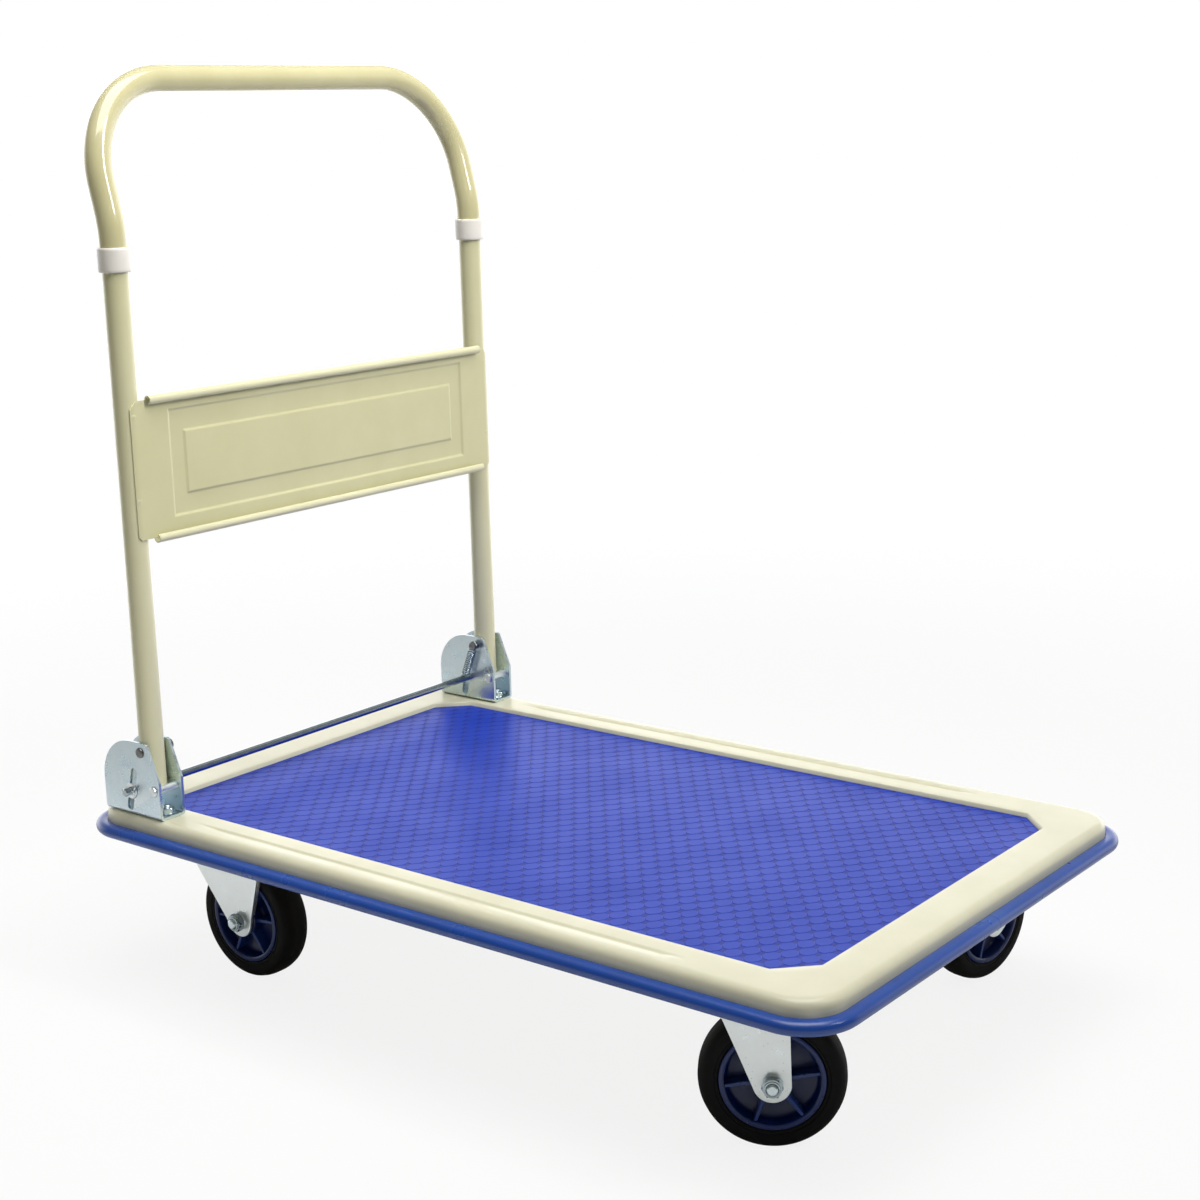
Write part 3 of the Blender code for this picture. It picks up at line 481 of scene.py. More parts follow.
def buildMat():
    top, rise = matHigh.z, mat["rise"]
    shape = bmesh.new()
    ch = deck["chamfer"]
    slab = plan(matHigh.x, matHigh.y, ch, True, 1, 1, 1)
    base = extrude([(x, y, matLow.z) for x, y in slab], (0, 0, top - rise - matLow.z))
    append(shape, base)
    shape.faces.ensure_lookup_table()
    # the slab between the pads takes the darker groove finish, a painted shade in the recesses
    for face in shape.faces:
        face.material_index = 1
    limitX, limitY = matHigh.x - mat["edge"], matHigh.y - mat["edge"]
    limits = [(sx, 0, limitX) for sx in (1, -1)] + [(0, sy, limitY) for sy in (1, -1)]
    root = math.sqrt(0.5)
    limits += [(sx * root, sy * root, (matHigh.x + matHigh.y - ch) * root - mat["edge"]) for sx in (1, -1)
               for sy in (1, -1)]
    halfA, halfB = mat["pitchX"] / 2, mat["pitchY"] / 2
    lean = mat["groove"] / 2 / math.hypot(halfA, halfB)
    spots = []
    for i in range(-60, 60):
        for j in range(-40, 40):
            x = mat["startX"] + i * halfA
            y = mat["startY"] - mat["pitchY"] / 2 + j * halfB
            if (i + j) % 2 and abs(x) < matHigh.x + halfA and abs(y) < matHigh.y + halfB:
                spots.append((x, y))

    def outline(x, y, shrink):
        a, b = halfA * (1 - 2 * lean) - shrink * 1.3, halfB * (1 - 2 * lean) - shrink * 1.3
        cutA, cutB = halfA - mat["cutX"] - shrink, halfB - mat["cutY"] - shrink
        yAt = b * (1 - cutA / a)
        xAt = a * (1 - cutB / b)
        return [(x + cutA, y - yAt), (x + cutA, y + yAt), (x + xAt, y + cutB), (x - xAt, y + cutB),
                (x - cutA, y + yAt), (x - cutA, y - yAt), (x - xAt, y - cutB), (x + xAt, y - cutB)]

    for x, y in spots:
        lower = outline(x, y, 0)
        upper = outline(x, y, mat["slope"])
        if abs(x) + halfA > limitX or abs(y) + halfB > limitY or abs(x) + abs(y) > limitX + limitY - ch - 2 * halfB:
            lower = clipped(lower, limits)
            if not lower:
                continue
            cx = sum(p[0] for p in lower) / len(lower)
            cy = sum(p[1] for p in lower) / len(lower)
            size = max(math.hypot(px - cx, py - cy) for px, py in lower)
            if size < 1.6 * mm:
                continue
            keep = 1 - mat["slope"] / size
            upper = [(cx + (px - cx) * keep, cy + (py - cy) * keep) for px, py in lower]
        verts = [shape.verts.new((px, py, top - rise - 0.05 * mm)) for px, py in lower]
        heads = [shape.verts.new((px, py, top)) for px, py in upper]
        shape.faces.new(heads)
        shape.faces.new(verts[::-1])
        for k in range(len(verts)):
            n = (k + 1) % len(verts)
            shape.faces.new((verts[k], verts[n], heads[n], heads[k]))
    return addPiece("embossed_mat", shape, "embossedVinyl", "deck", ("deck_mat",), crease=30, second="vinylGroovePaintedShade")


buildMat()
print("deck and mat built")

# bumper: one extruded D strip bent round the skirt, its ends butted at the front

bumper = dict(gap=0.3 * mm, seam=0.5 * mm, seamY=2 * mm)
bumperLow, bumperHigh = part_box("edge_bumper")


def buildBumper():
    half = (bumperHigh.z - bumperLow.z) / 2
    level = (bumperHigh.z + bumperLow.z) / 2
    depth = bumperHigh.x - halfX
    profile = [(bumper["gap"], level - half + 1.2 * mm), (bumper["gap"] + 1.2 * mm, level - half)]
    profile += [(depth - half + x, level + z) for x, z in arc((0, 0), half, -90, 90, 16)]
    profile += [(bumper["gap"] + 1.0 * mm, level + half), (bumper["gap"], level + half - 0.5 * mm)]
    sections = []
    for out, z in profile:
        sections.append([(x, y, z) for x, y in plan(halfX + out, halfY + out, deck["corner"] + out, False, 24, 16, 16)])
    count = len(sections[0])
    # the ring starts at the front's far end, so it is turned to start in the seam
    start = count - 8
    rings = []
    for k in range(count + 1):
        rings.append([Vector(section[(start + k) % count]) for section in sections])
    for ring, shift in ((rings[0], bumper["seam"] / 2), (rings[-1], -bumper["seam"] / 2)):
        for point in ring:
            point.y = bumper["seamY"] + shift
    shape = bmesh.new()
    loops = skin(shape, rings)
    shape.faces.new(loops[0])
    shape.faces.new(loops[-1])
    return addPiece("bumper_strip", shape, "extrudedPvc", "deck", ("edge_bumper",), crease=50)


buildBumper()

# channels and stiffeners under the deck: folded hat sections, spot welded to the pan

channels = dict(sheet=2 * mm, bend=2.5 * mm, flange=14 * mm)


def hatProfile(width, height, flange, sheet, bend):
    # half of a folded hat from the middle of its web to the flange's end, as (across, up) of its mid line
    web = width / 2 - sheet / 2
    path = [(0, sheet / 2), (web - bend, sheet / 2)]
    path += arc((web - bend, sheet / 2 + bend), bend, -90, 0, 5)
    path += arc((web + bend, height - sheet / 2 - bend), bend, 180, 90, 5)
    path += [(width / 2 + flange, height - sheet / 2)]
    return path


def thicken(path, sheet):
    # a mid line turned into a closed outline of constant thickness
    outer, inner = [], []
    for i, point in enumerate(path):
        before, after = path[max(i - 1, 0)], path[min(i + 1, len(path) - 1)]
        ahead = Vector((after[0] - before[0], after[1] - before[1])).normalized()
        off = Vector((-ahead.y, ahead.x)) * sheet / 2
        outer.append((point[0] + off.x, point[1] + off.y))
        inner.append((point[0] - off.x, point[1] - off.y))
    return outer + inner[::-1]


def buildChannels():
    for name in ("front_cross_channel", "rear_cross_channel", "left_stiffener", "right_stiffener"):
        low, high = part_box(name)
        lengthwise = "stiffener" in name
        span = (high.y - low.y) if lengthwise else (high.x - low.x)
        right = hatProfile(span - 2 * channels["flange"], high.z - low.z, channels["flange"], channels["sheet"],
                           channels["bend"])
        path = [(-a, b) for a, b in right[:0:-1]] + right
        section = thicken(path, channels["sheet"])
        if lengthwise:
            y = (low.y + high.y) / 2
            shape = extrude([(low.x, y + a, low.z + b) for a, b in section], (high.x - low.x, 0, 0))
        else:
            x = (low.x + high.x) / 2
            shape = extrude([(x + a, low.y, low.z + b) for a, b in section], (0, high.y - low.y, 0))
        addPiece(name.replace("channel", "rail") if "channel" in name else name + "_rail", shape,
                 "powderCoatedSteel", "deck", (name,), soften=0.3 * mm)


buildChannels()
print("bumper and channels built")

# folding brackets: zinc-plated plates folded into a channel round each tube

locking = dict(radius=4 * mm, washer=8.5 * mm, pin=0.9 * mm, wire=0.7 * mm, coil=4.4 * mm, turns=12,
               springOffset=5.5 * mm)
bracket = dict(sheet=3 * mm, fold=4.2 * mm, rear=60 * mm, front=26 * mm, height=80 * mm, shoulder=42 * mm,
               tip=11 * mm, inner=13.3 * mm, slot=4.6 * mm, travel=17.6 * mm, rise=21 * mm, lean=14, stopX=17.2 * mm,
               stopZ=31 * mm, boltX=16.5 * mm, bolt=4 * mm, lift=0.3 * mm)


def pressDirection():
    t = math.radians(bracket["lean"])
    return Vector((-math.sin(t), 0, -math.cos(t)))


def buildBracket(side, sign):
    y = sign * tubeY
    inner, outer, fold = bracket["inner"], bracket["inner"] + bracket["sheet"], bracket["fold"]
    base = deckTop + bracket["lift"]
    tall = bracket["height"] + 10 * mm
    section = [(outer, tall)] + [(outer - fold + a, fold + b) for a, b in arc((0, 0), fold, 0, -90, 6)]
    section += [(-a, b) for a, b in section[::-1]]
    tight = fold - bracket["sheet"]
    inside = [(inner, tall)] + [(inner - tight + a, bracket["sheet"] + tight + b)
                                for a, b in arc((0, 0), tight, 0, -90, 4)]
    section += [(-a, b) for a, b in inside] + inside[::-1]
    long = bracket["rear"] + bracket["front"]
    folded = extrude([(tubeX - bracket["rear"] - 5 * mm, y + a, base + b) for a, b in section],
                     (long + 10 * mm, 0, 0))
    tip = bracket["tip"]
    radius = (bracket["rear"] + tip) * 0.62
    outline = [(-bracket["rear"], 0), (bracket["front"], 0)]
    outline += arc((bracket["front"] - 3 * mm, bracket["shoulder"] - 2 * mm), 3 * mm, 0, 38, 3)
    outline += arc((tip - 4 * mm, bracket["height"] - 4 * mm), 4 * mm, 30, 90, 4)
    outline += arc((-bracket["rear"] + radius, bracket["height"] - radius), radius, 90, 180, 20)
    blank = extrude([(tubeX + a, y - outer - mm, base + b - (mm if b == 0 else 0)) for a, b in outline],
                    (0, 2 * outer + 2 * mm, 0))
    along = pressDirection()
    across = Vector((along.z, 0, -along.x))
    end = [lock + (bracket["travel"] * along), lock - bracket["rise"] * along]
    slot = []
    for point, start in zip(end, (0, 180)):
        slot += [Vector((point.x, y - 40 * mm, point.z)) + a * across + b * along
                 for a, b in arc((0, 0), bracket["slot"], start, start + 180, 12)]
    slotCut = extrude(slot, (0, 80 * mm, 0))
    cuts = [("INTERSECT", blank), ("DIFFERENCE", slotCut)]
    for radius, x, z in ((4.3 * mm, tubeX, pivotZ), (4.5 * mm, tubeX + bracket["stopX"], deckTop + bracket["stopZ"])):
        cuts.append(("DIFFERENCE", drum(radius, -40 * mm, 40 * mm, 28, at(x, y, z))))
    boltAt = at(tubeX + bracket["boltX"], y, deckTop) @ upright
    cuts.append(("DIFFERENCE", drum(bracket["bolt"] + 0.3 * mm, -12 * mm, 12 * mm, 24, boltAt)))
    shape = carve(folded, *cuts)
    addPiece(f"{side}_bracket", shape, "zincPlatedSteel", "deck", (f"{side}_handle_bracket",), soften=0.35 * mm)


pins = dict(pivotRadius=4 * mm, pivotHead=5.5 * mm, stopRadius=4.2 * mm, stopHead=5.6 * mm, head=1.4 * mm,
            stopDome=2.2 * mm)


def buildPins(side, sign):
    y = sign * tubeY
    outer = bracket["inner"] + bracket["sheet"] + 0.3 * mm
    inward = outer + locking["springOffset"] + 1.0 * mm
    for name, radius, head, reach, x, z in (
            ("pivot_pin", pins["pivotRadius"], pins["pivotHead"], inward, tubeX, pivotZ),
            ("stop_pin", pins["stopRadius"], pins["stopHead"], outer, tubeX + bracket["stopX"],
             deckTop + bracket["stopZ"])):
        thick = pins["head"] if name == "pivot_pin" else pins["stopDome"]
        profile = [(0, outer + thick * 0.86), (head * 0.45, outer + thick * 0.86), (head * 0.5, outer + thick),
                   (head * 0.78, outer + thick), (head * 0.95, outer + thick * 0.7), (head, outer + thick * 0.35),
                   (head, outer), (radius, outer), (radius, -reach), (head, -reach), (head, -reach - thick * 0.6),
                   (head * 0.85, -reach - thick), (head * 0.5, -reach - thick), (head * 0.42, -reach - thick * 0.6),
                   (0, -reach - thick * 0.6)]
        shape = bmesh.new()
        lathe(shape, profile, 36, at(x, y, z), sign)
        finish = "turnedSteel" if name == "pivot_pin" else "freshZincSheet"
        addPiece(f"{side}_turned_{name}", shape, finish, "deck", (f"{side}_{name}",), crease=30)
    bolt = bmesh.new()
    nut = bmesh.new()
    place = at(tubeX + bracket["boltX"], y, deckTop) @ upright
    base = bracket["lift"] + bracket["sheet"] + 0.3 * mm
    tip, r = base + 9.4 * mm, bracket["bolt"]
    profile = [(0, -tip), (r - 0.8 * mm, -tip)]
    for k in range(7):
        # rolled thread
        profile += [(r, -tip + 0.6 * mm + k * 1.2 * mm), (r - 0.5 * mm, -tip + 1.2 * mm + k * 1.2 * mm)]
    profile += [(r, -base), (r, 1.8 * mm), (7.2 * mm, 1.8 * mm), (7.0 * mm, 3.4 * mm), (4.4 * mm, 5.6 * mm),
                (0, 5.8 * mm)]
    lathe(bolt, profile, 32, place)
    hexNut(nut, 13 * mm, 6.4 * mm, r + 0.2 * mm, place @ at(0, -base - 6.5 * mm, 0))
    addPiece(f"{side}_bracket_fixing", bolt, "zincPlatedSteel", "deck", (f"{side}_bracket_bolt",), crease=30)
    addPiece(f"{side}_bracket_hex_nut", nut, "zincPlatedSteel", "deck", (f"{side}_bracket_nut",), crease=25)


for side, sign in sides.items():
    buildBracket(side, sign)
    buildPins(side, sign)

# lock: the bar that the foot presses, with its washers, split pins and two extension springs

barLow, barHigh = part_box("lock_bar")


def buildLock():
    shape = bmesh.new()
    half, radius = barHigh.y, locking["radius"]
    profile = [(0, -half), (radius - 0.8 * mm, -half), (radius, -half + 0.8 * mm), (radius, half - 0.8 * mm),
               (radius - 0.8 * mm, half), (0, half)]
    lathe(shape, profile, 40, at(lock.x, 0, lock.z))
    addPiece("lock_rod", shape, "platedBar", "lock", ("lock_bar",), crease=30)
    for side in sides:
        washer = bmesh.new()
        low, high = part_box(f"{side}_lock_washer")
        y = (low.y + high.y) / 2
        thick = (high.y - low.y) / 2
        w = locking["washer"]
        lathe(washer, [(radius + 0.3 * mm, -thick), (w - 0.4 * mm, -thick), (w, -thick + 0.4 * mm),
                       (w, thick - 0.4 * mm), (w - 0.4 * mm, thick), (radius + 0.3 * mm, thick)], 40,
              at(lock.x, y, lock.z))
        addPiece(f"{side}_round_washer", washer, "freshZincSheet", "lock", (f"{side}_lock_washer",), crease=30)
        cotter = bmesh.new()
        py = middle(f"{side}_split_pin").y
        r = locking["pin"] * 0.62
        reach = radius + 3.5 * mm
        for leg, height in ((r, 8 * mm), (-r, 7 * mm)):
            loop = [Vector((lock.x - reach - 2.4 * mm + a, py, lock.z + b)) for a, b in
                    arc((0, 0), 2.4 * mm, 180, 20 if leg > 0 else 340, 10)]
            ahead = 1 if leg > 0 else -1
            path = loop + [Vector((lock.x - reach + 1.5 * mm, py, lock.z + leg)),
                           Vector((lock.x + reach - 2.5 * mm, py, lock.z + leg)),
                           Vector((lock.x + reach - 0.8 * mm, py, lock.z + leg + ahead * 1.2 * mm)),
                           Vector((lock.x + reach + 1.2 * mm, py, lock.z + leg + ahead * height * 0.6))]
            sweep(cotter, path, r, 12)
        addPiece(f"{side}_cotter", cotter, "freshZincSheet", "lock", (f"{side}_split_pin",), crease=40)


def buildSpring(side, sign):
    y = sign * (tubeY - bracket["inner"] - bracket["sheet"] - locking["springOffset"])
    top = Vector((tubeX, y, pivotZ))
    low = Vector((lock.x, y, lock.z))
    along = (low - top).normalized()
    across = Vector((along.z, 0, -along.x))
    length = (low - top).length
    wire = locking["wire"]
    loop = locking["radius"] + 0.5 * mm + wire
    tail = loop + 2.5 * mm
    turns = locking["turns"]
    path = []
    for a, b in arc((0, 0), loop, -130, -330, 14):
        path.append(top + a * along + b * across)
    steps = 20 * turns
    for k in range(steps + 1):
        t = 2 * math.pi * k / 20
        reach = locking["coil"]
        path.append(top + (tail + (length - 2 * tail) * k / steps) * along
                    + reach * (math.cos(t) * across + math.sin(t) * Vector((0, 1, 0))))
    for a, b in reversed(arc((0, 0), loop, -130, -330, 14)):
        path.append(low - a * along + b * across)
    shape = bmesh.new()
    sweep(shape, path, wire, 10)
    addPiece(f"{side}_spring", shape, "platedBar", "deck", (f"{side}_lock_spring",), crease=60)


buildLock()
for side, sign in sides.items():
    buildSpring(side, sign)
print("brackets and lock built")

# handle: a bent tube with a glossy sleeve, two collars and the pressed cross panel

handle = dict(radius=12.7 * mm, wall=1.4 * mm, tail=40 * mm, bendZ=584 * mm, bend=140 * mm, lean=14,
              height=743 * mm, corner=103 * mm, sleeveRadius=13.8 * mm)


def handleHalf(sign, startZ):
    # centre line from the foot of one upright to the middle of the top bar
    lean = math.radians(handle["lean"])
    ahead = Vector((-math.sin(lean), 0, math.cos(lean)))
    bendZ = deckTop + handle["bendZ"]
    y = sign * tubeY
    points = [Vector((tubeX, y, startZ))]
    for k in range(13):
        t = lean * k / 12
        points.append(Vector((tubeX - handle["bend"] * (1 - math.cos(t)), y, bendZ + handle["bend"] * math.sin(t))))
    rise = deckTop + handle["height"] - points[-1].z
    corner = points[-1] + (rise / math.cos(lean) - handle["corner"]) * ahead
    for k in range(25):
        t = math.pi / 2 * k / 24
        points.append(corner + handle["corner"] * ((1 - math.cos(t)) * Vector((0, -sign, 0)) + math.sin(t) * ahead))
    return points


def handleLine(startZ):
    return handleHalf(1, startZ) + handleHalf(-1, startZ)[::-1]


def buildHandle():
    tube = bmesh.new()
    sweep(tube, handleLine(pivotZ - handle["tail"]), handle["radius"], 48, bore=handle["radius"] - handle["wall"])
    addPiece("handle_frame", tube, "powderCoatedSteel", "handle", ("handle_tube",), crease=40)
    collarLow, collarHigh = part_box("left_collar")
    sleeve = bmesh.new()
    sweep(sleeve, handleLine(collarHigh.z - 6 * mm), handle["sleeveRadius"], 56, bore=handle["radius"] + 0.05 * mm)
    addPiece("handle_sleeve", sleeve, "glossySleeve", "handle", ("grip_sleeve",), crease=40)
    radius = (collarHigh.x - collarLow.x) / 2
    for side, sign in sides.items():
        ring = bmesh.new()
        tall = collarHigh.z - collarLow.z
        bore = handle["radius"] + 0.1 * mm
        profile = [(bore, 0), (radius - 1.3 * mm, 0), (radius - 0.5 * mm, 0.5 * mm), (radius - 0.1 * mm, 1.4 * mm),
                   (radius, 3 * mm), (radius, tall - 3 * mm), (radius - 0.1 * mm, tall - 1.4 * mm),
                   (radius - 0.5 * mm, tall - 0.5 * mm), (radius - 1.1 * mm, tall), (bore, tall)]
        lathe(ring, profile, 56, at(tubeX, sign * tubeY, collarHigh.z) @ upright)
        addPiece(f"{side}_tube_collar", ring, "mouldedPolyethylene", "handle", (f"{side}_collar",), crease=40)


panel = dict(sheet=1.2 * mm, hem=4.5 * mm, wrap=24, hemHalf=248.7 * mm, clear=0.3 * mm, outerY=220 * mm,
             innerY=201 * mm, outerLow=499 * mm, outerHigh=607 * mm, innerLow=520 * mm, innerHigh=584 * mm,
             press=1.6 * mm, welds=(520 * mm, 605 * mm), offsets=(-2.2, -1.4, -0.7, 0, 0.7, 1.4, 2.2))


def pressDepth(y, z):
    # two nested rectangles pressed forwards, each with a sloped border
    def inside(halfWide, low, high, slope):
        edge = min(halfWide - abs(y), z - low, high - z)
        return smoothStep(edge, -slope, slope)

    outer = inside(panel["outerY"], panel["outerLow"], panel["outerHigh"], 1.6 * mm)
    inner = inside(panel["innerY"], panel["innerLow"], panel["innerHigh"], 1.6 * mm)
    return panel["press"] * (inner - outer)


def buildPanel():
    low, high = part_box("handle_panel")
    lowZ, highZ = low.z + panel["hem"], high.z - panel["hem"]
    reach = handle["radius"] + panel["clear"]
    mid = tubeX + reach + panel["sheet"] / 2
    spread = []
    for y in (0, panel["innerY"], panel["outerY"]):
        if y:
            spread += [s * (y + off * mm) for s in (1, -1) for off in panel["offsets"]]
    spread += [k * 20 * mm for k in range(-11, 12) if abs(abs(k * 20 * mm) - 220 * mm) > mm]
    spread = sorted(set(round(y, 6) for y in spread))
    columns = [(mid, y, True) for y in spread]
    flat = tubeY
    edges = []
    for k in range(11):
        t = math.radians(panel["wrap"] * k / 10)
        wide = reach + panel["sheet"] / 2
        edges.append((tubeX + wide * math.cos(t), flat + wide * math.sin(t)))
    ends = [(mid, 236 * mm), (mid, 250 * mm)] + edges
    columns = [(x, -y, False) for x, y in ends[::-1]] + columns + [(x, y, False) for x, y in ends]
    levels = []
    for z in (panel["outerLow"], panel["innerLow"], panel["innerHigh"], panel["outerHigh"]):
        levels += [z + off * mm for off in panel["offsets"]]
    levels += [lowZ, lowZ + 3 * mm, lowZ + 8 * mm, highZ - 8 * mm, highZ - 3 * mm, highZ]
    levels += [panel["innerLow"] + k * 12 * mm for k in range(1, 5)]
    levels = sorted(set(round(z, 6) for z in levels))
    shape = bmesh.new()
    rows = []
    half = panel["sheet"] / 2
    for face in (1, -1):
        rows = []
        for z in levels:
            row = []
            for x, y, pressed in columns:
                depth = pressDepth(y, z) if pressed else 0
                past = max(abs(y) - flat, 0)
                turn = math.atan2(past, math.sqrt(max((reach + half) ** 2 - past ** 2, 0))) if past else 0
                level = z
                if past:
                    # the flanges start a little lower than the hem and have round corners
                    drop = past / (reach * math.sin(math.radians(panel["wrap"])))
                    trim = 4 * mm * max(drop - 0.35, 0) ** 2 * 2
                    level = min(max(z, lowZ + trim), highZ - 4 * mm * min(drop * 3, 1) - trim)
                row.append((x + face * half * math.cos(turn) + depth,
                            y + math.copysign(face * half * math.sin(turn), y) if past else y, level))
            rows.append(row)
        if face == 1:
            front = rows
    loops = [front_row + back_row[::-1] for front_row, back_row in zip(front, rows)]
    made = skin(shape, loops)
    shape.faces.new(made[0])
    shape.faces.new(made[-1])
    for end, z0 in ((-1, lowZ), (1, highZ)):
        centre = (mid + panel["hem"] - panel["sheet"] / 2, z0)
        curl = []
        for a, b in arc((0, 0), panel["hem"], 180, -70, 20):
            curl.append((centre[0] + a, centre[1] + end * b))
        for a, b in arc((0, 0), panel["hem"] - panel["sheet"], -70, 180, 20):
            curl.append((centre[0] + a, centre[1] + end * b))
        hem = extrude([(x, -panel["hemHalf"], z) for x, z in curl], (0, 2 * panel["hemHalf"], 0))
        append(shape, hem)
    # plug welds on the flanges
    for sign in (1, -1):
        for z in panel["welds"]:
            spot = bmesh.new()
            t = math.radians(10)
            wide = reach + panel["sheet"] - 0.25 * mm
            lathe(spot, [(0, -0.4 * mm), (3.0 * mm, -0.4 * mm), (2.6 * mm, 0.3 * mm), (1.4 * mm, 0.55 * mm),
                         (0, 0.6 * mm)], 20,
                  at(tubeX + wide * math.cos(t), sign * (tubeY + wide * math.sin(t)), z)
                  @ Matrix.Rotation(-math.pi / 2 + sign * t, 4, "Z"))
            append(shape, spot)
    addPiece("cross_panel", shape, "powderCoatedSteel", "handle", ("handle_panel",), crease=38)


buildHandle()
buildPanel()
print("handle built")

# wheels: a solid rubber tyre on a ribbed rim

wheel = dict(radius=65.5 * mm, rim=47 * mm, half=17 * mm, hub=16.5 * mm, hubHalf=19 * mm, web=3.5 * mm,
             seat=41 * mm, bore=7.8 * mm, ribs=6, ribWidth=4.2 * mm)


def buildWheel(name, place, turn):
    tyre = bmesh.new()
    r, h = wheel["radius"], wheel["half"]
    shoulder = 8 * mm
    seam = wheel["rim"]
    profile = [(seam + 0.3 * mm, 0), (seam + 0.3 * mm, h - 2.2 * mm), (seam + 1.4 * mm, h - 1.0 * mm),
               (seam + 3.0 * mm, h - 0.5 * mm), (seam + 3.4 * mm, h - 0.9 * mm), (seam + 4.0 * mm, h - 0.9 * mm),
               (seam + 4.4 * mm, h - 0.3 * mm), (seam + 7 * mm, h)]
    profile += [(r - shoulder - 0.6 * mm + a * 0.94, h - shoulder + b) for a, b in arc((0, 0), shoulder, 84, 20, 8)]
    profile += [(r - 0.35 * mm, h - shoulder - 1.5 * mm), (r, h * 0.25), (r, 0)]
    full = profile + [(a, -b) for a, b in profile[-2:0:-1]]
    lathe(tyre, full, 96, place)
    addPiece(f"{name}_rubber_tyre", tyre, "mouldedRubber", f"{name}_wheel", (f"{name}_tyre",), crease=30)
    rim = bmesh.new()
    seat, hub, hh, web = wheel["seat"], wheel["hub"], wheel["hubHalf"], wheel["web"]
    side = [(wheel["bore"], 0), (wheel["bore"], hh - 0.6 * mm), (wheel["bore"] + 0.6 * mm, hh),
            (hub - 5.5 * mm, hh), (hub - 5.0 * mm, hh - 0.6 * mm), (hub - 1.2 * mm, hh - 1.2 * mm),
            (hub, hh - 2.4 * mm), (hub + 1.0 * mm, web + 2.2 * mm), (hub + 2.4 * mm, web + 0.5 * mm),
            (hub + 4.4 * mm, web), (seat - 3 * mm, web), (seat - 1.2 * mm, web + 1 * mm), (seat, web + 2.8 * mm),
            (seat + 0.8 * mm, h - 1.4 * mm), (seat + 1.4 * mm, h - 0.5 * mm), (seat + 2.4 * mm, h),
            (seam - 1.6 * mm, h), (seam - 0.4 * mm, h - 0.6 * mm), (seam, h - 1.8 * mm), (seam, 0)]
    lathe(rim, side + [(a, -b) for a, b in side[-2:0:-1]], 96, place)
    for k in range(wheel["ribs"]):
        angle = 2 * math.pi * k / wheel["ribs"] + turn
        for face in (1, -1):
            # each rib tapers and gets lower towards the rim
            start, end = hub - 1.0 * mm, seat + 1.6 * mm
            w0, w1 = wheel["ribWidth"] / 2, wheel["ribWidth"] * 0.36
            top0, top1 = hh - 3.4 * mm, h - 2.2 * mm
            rings = []
            for x, w, top in ((start, w0, top0), ((start + end) / 2, (w0 + w1) / 2, (top0 + top1) / 2 - 0.8 * mm),
                              (end, w1, top1)):
                rings.append([(x, face * (web - 1 * mm), w * 1.25), (x, face * (top - 0.6 * mm), w),
                              (x, face * top, w * 0.7), (x, face * top, -w * 0.7),
                              (x, face * (top - 0.6 * mm), -w), (x, face * (web - 1 * mm), -w * 1.25)])
            rib = bmesh.new()
            loops = skin(rib, rings)
            rib.faces.new(loops[0])
            rib.faces.new(loops[-1])
            append(rim, rib, place @ Matrix.Rotation(angle, 4, "Y"))
    addPiece(f"{name}_ribbed_rim", rim, "mouldedPolypropylene", f"{name}_wheel", (f"{name}_rim",), crease=32)


axle = dict(radius=5 * mm, face=24.3 * mm, nut=17 * mm, nutHeight=8 * mm, washer=9.4 * mm, head=16 * mm)


def buildAxle(name, body, place, sign):
    bolt = bmesh.new()
    r, face = axle["radius"], axle["face"]
    tip = face + axle["nutHeight"] + 3.7 * mm
    profile = [(0, -face - 1 * mm), (r, -face - 1 * mm), (r, face)]
    for k in range(10):
        # rolled thread, coarser than real so that it shows
        start = face + 0.5 * mm + k * 1.1 * mm
        profile += [(r, start), (r - 0.5 * mm, start + 0.55 * mm)]
    profile = [(a, min(b, tip - 0.8 * mm)) for a, b in profile]
    profile += [(r - 0.2 * mm, tip - 0.6 * mm), (r - 1.0 * mm, tip), (0, tip)]
    lathe(bolt, profile, 40, place, sign)
    hexNut(bolt, axle["head"], 6 * mm, 0, place @ at(0, -sign * face, 0), -sign)
    for direction in (1, -1):
        # thin flat washers against the legs
        start = face - 0.25 * mm
        lathe(bolt, [(r, start), (axle["washer"], start), (axle["washer"], start + 0.7 * mm),
                     (axle["washer"] - 0.3 * mm, start + 1.0 * mm), (r, start + 1.0 * mm)], 40, place,
              direction)
    addPiece(f"{name}_axle_fixing", bolt, "zincPlatedSteel", body, (f"{name}_axle_bolt",), crease=28)
    nut = bmesh.new()
    tall = axle["nutHeight"]
    hexNut(nut, axle["nut"], tall - 0.8 * mm, r + 0.3 * mm, place @ at(0, sign * (face + 0.8 * mm), 0), sign)
    # the nut's locking collar, crimped over the thread
    lathe(nut, [(r + 0.4 * mm, tall + 23 * mm), (r + 0.4 * mm, tall + face - 0.3 * mm),
                (r + 0.9 * mm, tall + face + 1.2 * mm), (r + 2.1 * mm, tall + face + 1.0 * mm),
                (r + 2.5 * mm, tall + face - 0.4 * mm), (r + 2.2 * mm, tall + 23 * mm)], 40, place, sign)
    addPiece(f"{name}_lock_nut", nut, "platedBar", body, (f"{name}_axle_nut",), crease=28)
    bush = bmesh.new()
    end = 20.6 * mm
    lathe(bush, [(5.4 * mm, -end), (7.0 * mm, -end), (7.4 * mm, -end + 0.4 * mm), (7.4 * mm, end - 0.4 * mm),
                 (7.0 * mm, end), (5.4 * mm, end)], 36, place)
    addPiece(f"{name}_spacer", bush, "turnedSteel", body, (f"{name}_axle_bush",), crease=30)


# forks: zinc-plated sheet folded over the wheel

fork = dict(half=21 * mm, sheet=3 * mm, fold=5 * mm, leg=17 * mm, trail=36 * mm)


